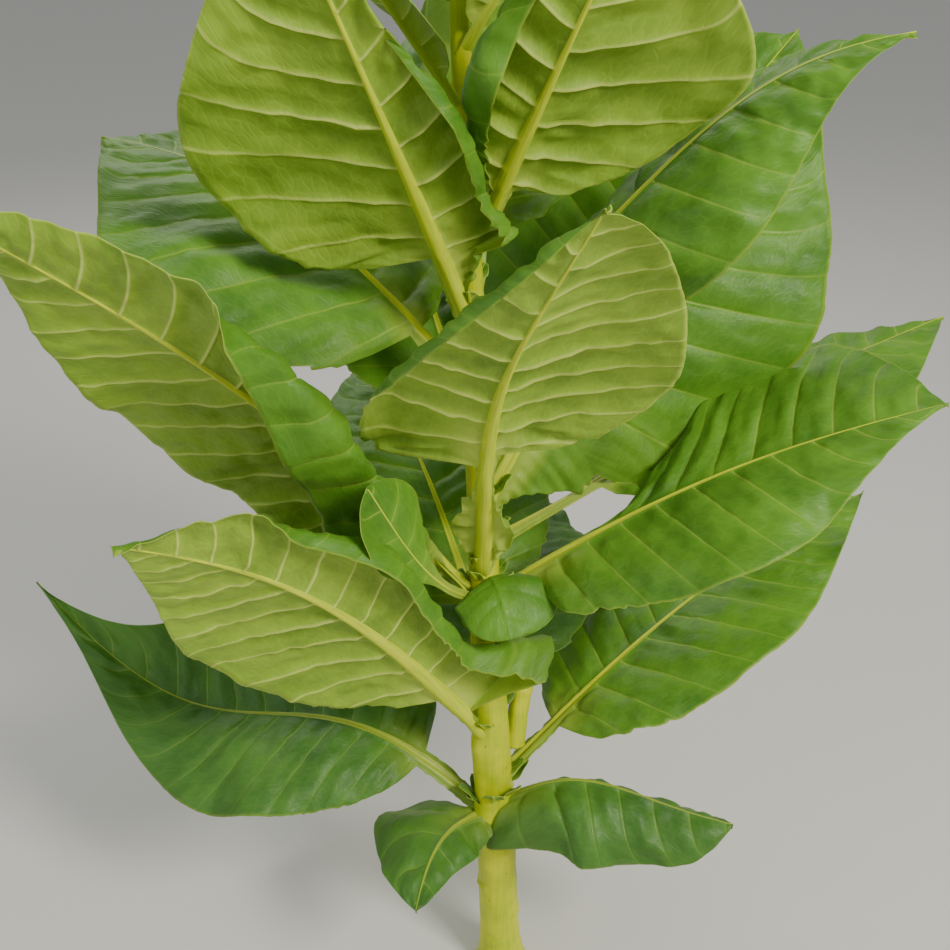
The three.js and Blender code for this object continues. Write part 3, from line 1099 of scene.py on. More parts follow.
@dataclass(frozen=True)
class RowPlan:
    """Where a leaf's rows of points leave the midrib, and which side vein each lies by.

    Attributes:
        start: Each row's place on the midrib.
        phase: Each row's count of side veins from the base.
        spacing: The distance between side veins in millimetres.
    """

    start: Array
    phase: Array
    spacing: float


class Chance(IntEnum):
    """Which of a half's random planes shapes what."""

    CRUMPLE = 0
    SWAY = 1
    SWING = 2
    TEETH = 3
    STRENGTH = 4
    WRINKLE = 5
    RUFFLE = 6


@dataclass(frozen=True)
class HalfPlaces:
    """Where the points of one half lie, as arrays of rows by columns from the midrib out.

    Attributes:
        seed: The first of the half's random planes.
        t: Places along the leaf.
        u: Places from the petiole's end to the tip.
        u_start: The places where the rows leave the midrib, along the blade.
        phase: The count of side veins, a whole number on each.
        jag: How far the margin's teeth stand out.
        rib: The drawn rib's radius.
        distance: How far the point lies from the midrib, over the face.
        v: That distance as a share of the half's width there.
    """

    seed: int
    t: Array
    u: Array
    u_start: Array
    phase: Array
    jag: Array
    rib: Array
    distance: Array
    v: Array


class LeafPiece:
    """Builds a leaf's mesh: a thin closed blade whose rows of points run out along its side veins.

    In its numbers, lengths are millimetres, places along run from 0 at the petiole's end to 1 at the tip
    and places across from 0 at the midrib to 1 at the margin.
    """

    # Rows: how side veins crowd towards the tip, the petiole's spacing, and the fewest there can be
    PHASE_POWER = 0.88
    PETIOLE_ROW = 2.0
    LEAST_VEINS = 3
    LEAST_PETIOLE_ROWS = 4
    # How far the rows lean towards the tip, and columns that crowd a little at the midrib
    SWEEP = 0.26
    SWEEP_MORE = 0.3
    SWEEP_CURVE = 0.16
    SWEEP_WIDE_MOST = 1.1
    COLUMN_POWER = 0.92
    # The rib slims along the blade, flares at the stem and takes up no more than a share of a half
    SLIMMING = 0.42
    SLIM_BY = 0.6
    FOOT_FLARE = 0.3
    FOOT_LENGTH = 11.0
    RIB_SHARE_MOST = 0.8
    # The channel on top of it, in radii, and how it runs out
    CHANNEL = 0.4
    CHANNEL_FADE = 0.5
    CHANNEL_POWER = 1.5
    # Teeth: the part of the blade that has most, how many more there, and the width that they grow with
    TOOTHED_BASE = 0.16
    TOOTH_MORE = 2
    TOOTH_REST = 0.12
    TOOTH_WIDTH_MOST = 70.0
    TOOTH_POWER = 3
    # Side veins: where they start, how they narrow and flatten outwards, and what shows of them on top
    BLADE_START = 0.03
    VEIN_FROM_RIB: Pair = (0.6, 0.7)
    VEIN_NARROWING = 0.5
    VEIN_FLATTENING = 0.85
    VEIN_DENT = 0.4
    # Fields between veins: their height's middle and range, where they are full, and how they round off
    FIELD_STRENGTH: Pair = (0.75, 0.45)
    FIELD_STEP = 1.7
    FIELD_FROM_RIB: Pair = (0.8, 9.0)
    FIELD_FADE = 0.75
    FIELD_FADE_SPAN: Pair = (0.35, 0.6)
    FIELD_POWER = 0.75
    FIELD_MIDDLE = 0.45
    # Wrinkles: how many lie between side veins and across, how they slant, and how they fade outwards
    WRINKLES_ALONG = 3.1
    WRINKLES_ACROSS = 2.6
    WRINKLE_SLANT = 0.2
    WRINKLE_FADE = 0.6
    # The width of a leaf that sways and swings in full, and how the swing grows outwards and onwards
    FULL_WIDTH = 200
    SWING_POWER = 2.5
    SWING_ONSET = 0.05
    # Ruffles: how they turn across, the part of the blade that has them, and how far from the rib
    RUFFLE_TURN = 1.5
    RUFFLED_BASE = 0.1
    RUFFLE_FROM_RIB = 8
    # The bake map: how much of its strip a blade fills, and one face's share with its gap
    BAKE_ALONG = 0.995
    BAKE_ACROSS = 0.49
    BAKE_LOWER = 0.5
    BAKE_RIM = 0.495
    BAKE_STRIP = 0.999
    # The rim's place in the vein map: between two side veins, at the margin
    RIM_VEINS: Pair = (0.5, 1.0)

    def __init__(self, leaf: Leaf) -> None:
        """Keeps the leaf and works out its length."""
        self.leaf = leaf
        self.length = leaf.length()

    def plan_rows(self) -> RowPlan:
        """Places the rows: even ones along the petiole, and a set for each side vein on the blade."""
        leaf = self.leaf
        blade = self.length * (1 - leaf.petiole)
        count = max(self.LEAST_VEINS, round(blade / leaf.vein_spacing))
        steps = max(self.LEAST_PETIOLE_ROWS, round(leaf.petiole * self.length / self.PETIOLE_ROW))
        petiole = np.linspace(0, leaf.petiole, steps, endpoint=False)
        phases = np.array([k + row for k in range(count) for row in leaf.rows])
        share = (phases / count) ** (1 / self.PHASE_POWER)
        on_blade = leaf.petiole + (1 - leaf.petiole) * share
        spacing = blade / count
        start = np.concatenate([petiole, on_blade, [1.0]])
        before = (petiole - leaf.petiole) * self.length / spacing
        phase = np.concatenate([before, phases, [count]])
        return RowPlan(start=start, phase=phase, spacing=spacing)

    def rib_radius(self, t: Array) -> Array:
        """Returns the drawn rib's radius, which slims along the blade and flares at the stem."""
        leaf = self.leaf
        slim = 1 - self.SLIMMING * smooth(leaf.past_petiole(t) / self.SLIM_BY)
        beyond_stem = t * self.length - stem_radius(leaf.height)
        flare = 1 + self.FOOT_FLARE * bell(beyond_stem, self.FOOT_LENGTH)
        return leaf.rib_radius(t) * slim * flare

    def places(self, side: Side, plan: RowPlan) -> HalfPlaces:
        """Works out where one half's points lie on the leaf.

        Args:
            side: The half.
            plan: The leaf's rows.

        Returns:
            Their places.
        """
        leaf, relief = self.leaf, self.leaf.relief
        start = plan.start[:, None]
        steps = np.linspace(0, 1, leaf.columns + 1)[1:]
        outward = np.concatenate([np.zeros(len(RIB_COLUMNS)), steps**self.COLUMN_POWER])[None, :]
        near = np.concatenate([RIB_COLUMNS, np.full(leaf.columns, RIB_EDGE)])[None, :]

        # Rows lean towards the tip as side veins do, and more so further out
        u_start = leaf.past_petiole(start)
        power = math.log(0.5) / math.log(leaf.crest)
        wide = min(leaf.half(side).wide, self.SWEEP_WIDE_MOST)
        open_width = leaf.width / 2 * wide * np.sin(np.pi * u_start**power)
        lean = (self.SWEEP + self.SWEEP_MORE * u_start) * outward + self.SWEEP_CURVE * outward**2
        t = np.clip(start + open_width / self.length * lean, 0.0, 1.0)
        u = leaf.past_petiole(t)
        seed = leaf.seed + side.seed

        # The margin is cut into blunt teeth near the base, and hardly at all further on
        at_base = bell(u, self.TOOTHED_BASE)
        teeth = value_noise(seed + Chance.TEETH, t * self.length / relief.tooth_length, np.zeros_like(t))
        plain_width = leaf.half_width(side, t)
        grows_with = relief.tooth * np.minimum(plain_width, self.TOOTH_WIDTH_MOST)
        jag = grows_with * (self.TOOTH_REST + self.TOOTH_MORE * at_base) * teeth
        width = plain_width + jag
        rib = self.rib_radius(t)
        rib_edge = np.minimum(near * rib, self.RIB_SHARE_MOST * width * near / RIB_EDGE)
        distance = rib_edge + (width - rib_edge) * outward
        phase = plan.phase[:, None] - side.first_vein + np.zeros_like(t)
        return HalfPlaces(
            seed=seed, t=t, u=u, u_start=u_start, phase=phase, jag=jag, rib=rib, distance=distance,
            v=np.minimum(distance / width, 1.0),
        )

    def bumps(self, at: HalfPlaces, spacing: float) -> tuple[Array, Array]:
        """Works out how far a half's points stand out of the leaf's middle surface.

        Args:
            at: The points' places.
            spacing: The distance between side veins.

        Returns:
            How much of a side vein there is, from 0 to 1, and how far both faces are pushed up.
        """
        relief = self.leaf.relief
        nowhere = np.zeros_like(at.t)
        along_mm = at.t * self.length

        # Side veins, the fields that bulge up between them and the wrinkles beside them
        field_number = np.floor(at.phase)
        share = at.phase - field_number
        on_blade = smooth(at.u_start / self.BLADE_START)
        vein_off = np.minimum(share, 1 - share) * spacing
        starts, takes = self.VEIN_FROM_RIB
        beside_rib = smooth((at.distance - starts * at.rib) / (takes * at.rib))
        vein = bell(vein_off, relief.vein_width * (1 - self.VEIN_NARROWING * at.v))
        vein = vein * (1 - self.VEIN_FLATTENING * at.v) * on_blade * beside_rib
        middle, drift = self.FIELD_STRENGTH
        chance = value_noise(at.seed + Chance.STRENGTH, field_number * self.FIELD_STEP, nowhere)
        strength = middle + drift * chance
        starts, takes = self.FIELD_FROM_RIB
        beyond_rib = smooth((at.distance - at.rib * starts) / takes)
        starts, takes = self.FIELD_FADE_SPAN
        kept = 1 - self.FIELD_FADE * smooth((at.v - starts) / takes)
        settled = beyond_rib * kept * on_blade * (1 - at.u**3)
        arch = np.sin(np.pi * share) ** self.FIELD_POWER - self.FIELD_MIDDLE
        pucker = relief.pucker * strength * arch * settled
        across = at.v * self.WRINKLES_ACROSS + at.phase * self.WRINKLE_SLANT
        wrinkle = value_noise(at.seed + Chance.WRINKLE, at.phase * self.WRINKLES_ALONG, across)
        wrinkle = relief.wrinkle * wrinkle * beyond_rib * on_blade * (1 - self.WRINKLE_FADE * at.v)

        # Smaller bumps, slow waves, the swings of the margin and the ruffles of the base
        crumple, slow = (
            value_noise(at.seed + plane, along_mm / size_mm, at.distance / size_mm)
            for plane, size_mm in ((Chance.CRUMPLE, relief.crumple_size), (Chance.SWAY, relief.sway_size))
        )
        swing = value_noise(at.seed + Chance.SWING, along_mm / relief.wavy_length, at.v)
        quick = value_noise(
            at.seed + Chance.RUFFLE, along_mm / relief.frill_length, self.RUFFLE_TURN * at.v
        )
        size = min(1.0, self.leaf.width / self.FULL_WIDTH)
        frill = relief.frill * bell(at.u, self.RUFFLED_BASE) * quick
        frill = frill * smooth((at.distance - at.rib) / self.RUFFLE_FROM_RIB) * at.v
        raised = (
            pucker
            + wrinkle
            + relief.crumple * crumple * beyond_rib
            + relief.sway * size * slow * at.v
            + relief.wavy * size * swing * at.v**self.SWING_POWER * smooth(at.u / self.SWING_ONSET)
            + frill
        )
        return vein, raised

    def half_grid(self, side: Side, plan: RowPlan) -> dict[str, Array]:
        """Works out one half's points on both faces.

        Args:
            side: The half.
            plan: The leaf's rows.

        Returns:
            Arrays of rows by columns from the midrib out: the upper and lower points, the places in
            the vein map and the blade map.
        """
        leaf, relief = self.leaf, self.leaf.relief
        at = self.places(side, plan)
        points, normal, face = leaf.surface(side, at.t, at.v)
        outwards = np.zeros_like(points)
        outwards[:, 1:] = unit(np.diff(points, axis=1) + NO_LENGTH)
        moved = points + outwards * (at.jag * at.v**self.TOOTH_POWER)[..., None]
        vein, raised = self.bumps(at, plan.spacing)

        # The rib stands out of the underside, and its upper face is a shallow channel
        on_rib = np.clip(at.distance / (at.rib * RIB_EDGE), 0.0, 1.0)
        rib_depth = at.rib * np.sqrt(1 - on_rib**2)
        channel = self.CHANNEL * at.rib * (1 - at.u) ** self.CHANNEL_FADE
        channel = channel * np.sin(np.pi * on_rib) ** self.CHANNEL_POWER
        plate = lerp(relief.plate, relief.plate_edge, at.v)
        blended = unit(lerp(face, normal, smooth(on_rib)[..., None]))
        above = raised + plate + channel - self.VEIN_DENT * relief.vein * vein
        below = raised - plate - rib_depth - relief.vein * vein
        row_mm = at.phase * plan.spacing + ROW_MAP_SHIFT
        column_mm = at.distance * side.value + ROW_MAP_SHIFT
        drawn_phase = np.full_like(at.phase, BETWEEN_VEINS) if leaf.plain else at.phase
        return {
            "upper": moved + blended * above[..., None],
            "lower": moved + blended * below[..., None],
            VEIN_MAP: np.stack([drawn_phase, at.v], axis=-1),
            BLADE_MAP: np.stack([row_mm, column_mm], axis=-1) / BLADE_MAP_MM,
        }

    def patches(self, first_number: int, strip: Pair) -> tuple[Array, list[Patch]]:
        """Joins the two halves into one closed mesh.

        Args:
            first_number: How many points the piece has already.
            strip: Where the blade's own part of the bake map starts and ends.

        Returns:
            The points and the patches of faces.
        """
        plan = self.plan_rows()
        left, right = (self.half_grid(side, plan) for side in (Side.LEFT, Side.RIGHT))
        rows, half_columns = left["upper"].shape[:2]
        middle = half_columns - 1
        columns = 2 * middle + 1

        def spread(key: str) -> Array:
            """Lays both halves side by side, from the right margin to the left one."""
            return np.concatenate([right[key][:, :0:-1], left[key]], axis=1)

        points = np.concatenate([spread("upper").reshape(-1, 3), spread("lower").reshape(-1, 3)])
        upper = first_number + np.arange(rows * columns).reshape(rows, columns)
        lower = upper + rows * columns
        down, over = np.meshgrid(
            lerp(*strip, np.linspace(0, self.BAKE_ALONG, rows)),
            np.linspace(0, self.BAKE_ACROSS, columns),
            indexing="ij",
        )
        made = []
        for low_face, numbers, rib in ((False, upper, UPPER_RIB), (True, lower, LOWER_RIB)):
            bake = np.stack([down, over + (self.BAKE_LOWER if low_face else 0.0)], axis=-1)
            rib_finish = int(low_face) if self.leaf.plain else 2
            for first, last, finish in (
                (0, middle - rib, int(low_face)),
                (middle - rib, middle, rib_finish),
                (middle, middle + rib, rib_finish),
                (middle + rib, columns - 1, int(low_face)),
            ):
                maps = {BAKE_MAP: grid_places(bake[:, first : last + 1], low_face)}
                for key in (VEIN_MAP, BLADE_MAP):
                    whole = spread(key)
                    if last <= middle:
                        whole = np.concatenate([whole[:, :middle], right[key][:, :1]], axis=1)
                    maps[key] = grid_places(whole[:, first : last + 1], low_face)
                faces = grid_faces(numbers[:, first : last + 1], flip=low_face)
                made.append(Patch(faces, finish, maps))
        for faces in rim_faces(upper, lower):
            flat = np.zeros((len(faces), 4, 2))
            margin = flat + np.array(self.RIM_VEINS)
            bake = flat + np.array([strip[1], self.BAKE_RIM])
            made.append(Patch(faces, 1, {VEIN_MAP: margin, BLADE_MAP: flat, BAKE_MAP: bake}))
        return points, made

    def build(self, finishes: list[bpy.types.Material]) -> bpy.types.Object:
        """Makes the leaf's piece, with its lobes in it.

        Args:
            finishes: The materials of its upper face, its underside and its ribs.

        Returns:
            The piece.
        """
        blades = [self, *(LeafPiece(lobe) for lobe in self.leaf.lobes)]
        points: list[Array] = []
        patches: list[Patch] = []
        count = 0
        ends = np.cumsum([blade.length for blade in blades])
        for blade, end in zip(blades, ends):
            strip = ((end - blade.length) / ends[-1], self.BAKE_STRIP * end / ends[-1])
            some_points, some_patches = blade.patches(count, strip)
            points.append(some_points)
            patches.extend(some_patches)
            count += len(some_points)
        name = f"{self.leaf.node}_blade"
        return make_piece(name, self.leaf.node, np.concatenate(points), patches, finishes)


LEAVES: tuple[Leaf, ...] = (
    Leaf(
        node="leaf_01_front_left", height=176, azimuth=-123, reach=124, rise=-20, width=110,
        bow=16, sway=-14, petiole=0.1, growth=Growth.LOW,
        left=Half(lift=(0, 0), curl=(40, 40), wide=0.5),
        right=Half(lift=(0, 0), curl=(30, 30), wide=1.3),
    ),
    Leaf(
        node="leaf_02_low_right", height=186, azimuth=-16, reach=211, rise=24, width=126,
        bow=30, kick=8, petiole=0.06, blunt=0.4, point=0.6, roll=(15, 10), growth=Growth.LOW,
        left=Half(lift=(-50, -40), curl=(40, 20), wide=0.8),
        right=Half(
            lift=(10, -20), curl=(60, 60), wide=1.12, blunt=0.85, ear=4, ear_at=0.1, ear_spread=0.11,
            clasp=46,
        ),
    ),
    Leaf(
        node="leaf_03_low_left", height=170, azimuth=164, reach=445, rise=174, width=215,
        bow=-18, kick=38, petiole=0.16, point=1.9, roll=(-5, -10), growth=Growth.LOW,
        left=Half(lift=(0, 0), curl=(40, 30), wide=0.95),
        right=Half(lift=(10, 70), curl=(20, 20), wide=1.4),
    ),
    Leaf(
        node="leaf_04_low_right_back", height=205, azimuth=29, reach=411, rise=195, width=200,
        bow=34, petiole=0.16,
    ),
    Leaf(
        node="leaf_05_low_back", height=266, azimuth=84, reach=350, rise=60, width=176,
        bow=50, growth=Growth.LOW,
    ),
    Leaf(
        node="leaf_06_left_front", height=255, azimuth=-141, reach=319, rise=300, width=265,
        bow=45, petiole=0.16, point=1.2, roll=(40, 50),
        left=Half(
            lift=(34, 10), curl=(132, 10), fold=(0.66, 0.86), span=0.3, until=0.78,
            wide=0.6, ear=138, ear_at=0.13, ear_spread=0.06, ear_back=0.3, point=0.9,
        ),
        right=Half(lift=(0, 0), curl=(20, 10), wide=0.85),
    ),
    Leaf(
        node="leaf_07_back", height=342, azimuth=112, reach=330, rise=150, width=230,
        bow=40, petiole=0.12,
    ),
    Leaf(
        node="leaf_08_right", height=397, azimuth=0, reach=359, rise=176, width=230,
        bow=23, petiole=0.12, point=1.5, crest=0.4, blunt=0.8, roll=(14, 15),
        left=Half(lift=(10, 10), curl=(20, 20), wide=1.02, crest=0.68, blunt=1.35, point=0.9),
        right=Half(
            lift=(12, 0), curl=(40, 30), wide=0.8, wing=14, crest=0.45, blunt=0.6,
            ear=12, ear_at=0.13, ear_spread=0.06,
        ),
        lobes=(
            Leaf(
                node="leaf_08_right", height=421, azimuth=-70, reach=62, rise=-26, width=86, plain=True,
                bow=16, petiole=0.22, crest=0.45, blunt=0.4, point=0.35, roll=(12, 12), wave=1.5,
                rib_scale=0.15, vein_spacing=18, columns=12, relief=FLAP_RELIEF,
                left=Half(lift=(0, 0), curl=(35, 30), wide=1.15, wing=6),
                right=Half(lift=(0, 0), curl=(35, 30), wide=0.8, wing=6),
            ),
        ),
    ),
    Leaf(
        node="leaf_09_left_front", height=400, azimuth=-147, reach=372, rise=369, width=280,
        bow=26, point=1.1, roll=(35, 35),
        left=Half(
            lift=(10, 5), curl=(165, 10), fold=(-0.05, 1.15), span=0.35, until=0.65,
            wide=0.66, ear=66, ear_at=0.2, ear_spread=0.07, point=0.85,
        ),
        right=Half(lift=(0, 0), curl=(20, 10), wide=0.72),
        lobes=(
            Leaf(
                node="leaf_09_left_front", height=398, azimuth=-124, reach=148, rise=160, width=76,
                bow=-24, petiole=0.4, crest=0.7, blunt=0.9, point=0.4, roll=(-110, -100), wave=2,
                rib_scale=0.22, vein_spacing=26, columns=14, relief=FLAP_RELIEF,
                left=Half(lift=(5, 5), curl=(-20, -20), wide=0.8, wing=4),
                right=Half(lift=(0, 0), curl=(30, 30), wide=0.8, wing=4, crest=0.68, blunt=1.3, point=0.7),
            ),
        ),
    ),
    Leaf(
        node="leaf_10_front", height=421, azimuth=-76, reach=258, rise=364, width=232,
        bow=30, kick=8, sway=-22, petiole=0.31, crest=0.33, blunt=0.35, roll=(-5, 0),
        left=Half(
            lift=(15, 5), curl=(45, 30), wide=0.97, wing=7, frill=20, frill_at=0.12, frill_spread=0.06,
            crest=0.4, blunt=0.75, point=0.62,
        ),
        right=Half(
            lift=(10, 10), curl=(30, 130), fold=(0.9, 0.84), span=0.3, until=0.5, wide=0.74, wing=7,
            ear=10, ear_at=0.36, clasp=28, frill=19, frill_at=0.115, frill_spread=0.065, blunt=0.3,
        ),
        relief=Relief(frill=7.5, frill_length=4.6),
    ),
    Leaf(
        node="leaf_11_right", height=446, azimuth=30, reach=510, rise=114, width=215,
        bow=12, petiole=0.22, roll=(0, 6),
        left=Half(lift=(0, 0), curl=(30, 30), wide=0.65),
        right=Half(lift=(8, 5), curl=(20, 20)),
    ),
    Leaf(
        node="leaf_12_right_back", height=478, azimuth=37, reach=331, rise=350, width=290,
        bow=30, petiole=0.18, blunt=0.45, roll=(30, 30),
        left=Half(lift=(10, 5), curl=(20, 20)),
        right=Half(
            lift=(-45, 10), curl=(20, 20), wide=1.14, crest=0.38, blunt=0.3,
            ear=70, ear_at=0.165, ear_spread=0.09, clasp=24,
        ),
    ),
    Leaf(
        node="leaf_13_back", height=512, azimuth=108, reach=300, rise=150, width=190,
        bow=35,
    ),
    Leaf(
        node="leaf_14_left_back", height=582, azimuth=154, reach=343, rise=167, width=300,
        bow=45, petiole=0.15, point=1.2, blunt=0.5,
        left=Half(lift=(-5, 0), curl=(20, 20), wide=1.1),
        right=Half(lift=(10, 5), curl=(20, 20), wide=0.9),
    ),
    Leaf(
        node="leaf_15_right", height=605, azimuth=-8, reach=293, rise=247, width=176,
        bow=42, kick=-8, petiole=0.15, point=1.4, crest=0.38, roll=(15, 15),
        left=Half(lift=(10, 5), curl=(60, 50), wide=0.8),
        right=Half(lift=(-15, -5), curl=(80, 40)),
    ),
    Leaf(
        node="leaf_16_front_left", height=630, azimuth=-127, reach=188, rise=323, width=250,
        bow=5, petiole=0.2, blunt=0.42, roll=(28, 28),
        left=Half(
            lift=(15, 5), curl=(150, 140), fold=(0.8, 0.8), span=0.25, wide=0.43, crest=0.26, blunt=0.3,
            ear=24, ear_at=0.19, ear_spread=0.06,
        ),
        right=Half(lift=(5, 5), curl=(20, 20), wide=1.05),
    ),
    Leaf(
        node="leaf_17_back", height=655, azimuth=84, reach=240, rise=230, width=180,
        bow=30,
    ),
    Leaf(
        node="leaf_18_front_right", height=690, azimuth=-54, reach=173, rise=258, width=215,
        bow=0, petiole=0.22, blunt=0.5, crest=0.55, roll=(-25, -25),
        left=Half(lift=(5, 5), curl=(20, 20), wide=1.1),
        right=Half(lift=(15, 5), curl=(170, 170), fold=(0.7, 0.7), span=0.35, wide=0.74),
    ),
)


@dataclass(frozen=True)
class AxilShoot:
    """The shoot that sleeps in a leaf's axil: a pair of small pointed leaflets close to the stem.

    Attributes:
        above: How far above the leaf's foot it stands.
        reach: How far its leaflets stand out from the rind.
        rise: How far their tips stand above their feet.
        width: Their width.
        parting: How far apart the two point, in degrees.
        step: How much higher the second stands than the first.
        sizes: The smallest and the largest share of these sizes that a leaflet has.
        stalk: The share of the stem's radius that a leaflet's foot takes before its blade opens.
        half: The shape of both halves.
    """

    above: float = 13.0
    reach: float = 15.0
    rise: float = 25.0
    width: float = 13.0
    parting: float = 62.0
    step: float = 6
    sizes: Pair = (0.6, 1.15)
    stalk: float = 0.75
    half: Half = Half(lift=(35, 25), curl=(30, 40), wing=1.5)

    def leaflets(self, leaf: Leaf) -> tuple[Leaf, ...]:
        """Returns the leaflets in one leaf's axil, which differ a little from leaf to leaf."""
        chance = np.random.default_rng(leaf.seed)
        made = []
        for turn in (-0.5, 0.5):
            size = chance.uniform(*self.sizes)
            height = leaf.height + self.above + self.step * turn
            radius = float(stem_radius(height))
            reach = radius + self.reach * size
            made.append(
                Leaf(
                    node=leaf.node, height=height, azimuth=leaf.azimuth + turn * self.parting,
                    reach=reach, rise=self.rise * size, width=self.width * size, bow=-4 * size,
                    petiole=self.stalk * radius / reach, crest=0.5, blunt=0.8, point=1.0, wave=1.0,
                    rib_scale=0.18, vein_spacing=9, rows=AXIL_ROWS, columns=6,
                    relief=replace(FLAP_RELIEF, pucker=0.6, wrinkle=0.4, sway=1.0, wavy=1.5, frill=0.6),
                    left=self.half, right=self.half,
                )
            )
        return tuple(made)


@dataclass(frozen=True)
class YoungLeaves:
    """The young leaves that carry on the spiral above the others and shrink towards the bud.

    Attributes:
        count: How many there are.
        azimuth: The direction of the first.
        height: The heights of the first and the last.
        reach: How far their tips lie from the stem's axis, as each pair below from the first to the last.
        rise: How far their tips lie above their feet.
        width: Their width.
        bow: How far the midrib arches up.
        wave: How far the margin ripples.
        rib: The midrib's radius as a share of the usual.
        petiole: The share of the leaf before the blade opens.
        shrinking: How fast they shrink on the way up. At 1 it is even.
        climbing: How fast they climb on the way up.
        half: The shape of both halves.
        vein_spacing: The distance between side veins for the smallest leaf and for the first.
    """

    count: int = 9
    azimuth: float = 60
    height: Pair = (745, 1012)
    reach: Pair = (205, 34)
    rise: Pair = (215, 92)
    width: Pair = (150, 36)
    bow: Pair = (20, 4)
    wave: Pair = (4, 1)
    rib: Pair = (0.75, 0.35)
    petiole: float = 0.1
    shrinking: float = 0.85
    climbing: float = 0.8
    half: Half = Half(lift=(20, 10), curl=(25, 25))
    vein_spacing: Pair = (12.0, 24.0)

    def leaf(self, index: int) -> Leaf:
        """Returns the young leaf of a number, counted from 0 at the bottom."""
        share = index / (self.count - 1)
        grown = share**self.shrinking
        width = lerp(*self.width, grown)
        small = width / self.width[0]
        return Leaf(
            node=f"leaf_{len(LEAVES) + index + 1}_young",
            height=lerp(*self.height, share**self.climbing),
            azimuth=self.azimuth + GOLDEN_TURN * index,
            reach=lerp(*self.reach, grown),
            rise=lerp(*self.rise, grown),
            width=width,
            bow=lerp(*self.bow, grown),
            petiole=self.petiole,
            wave=lerp(*self.wave, grown),
            rib_scale=lerp(*self.rib, grown),
            left=self.half,
            right=self.half,
            growth=Growth.YOUNG,
            vein_spacing=lerp(*self.vein_spacing, small),
            rows=YOUNG_ROWS,
            columns=16,
            relief=Relief(
                vein=0.9 * small, vein_width=1.2, pucker=2.2 * small, wrinkle=0.9 * small,
                crumple=0.5 * small, sway=2.0 * small, wavy=5.0 * small, wavy_length=26.0,
                frill=2.0 * small, tooth=0.02,
            ),
        )

    def leaves(self) -> list[Leaf]:
        """Returns all the young leaves, from the bottom up."""
        return [self.leaf(index) for index in range(self.count)]


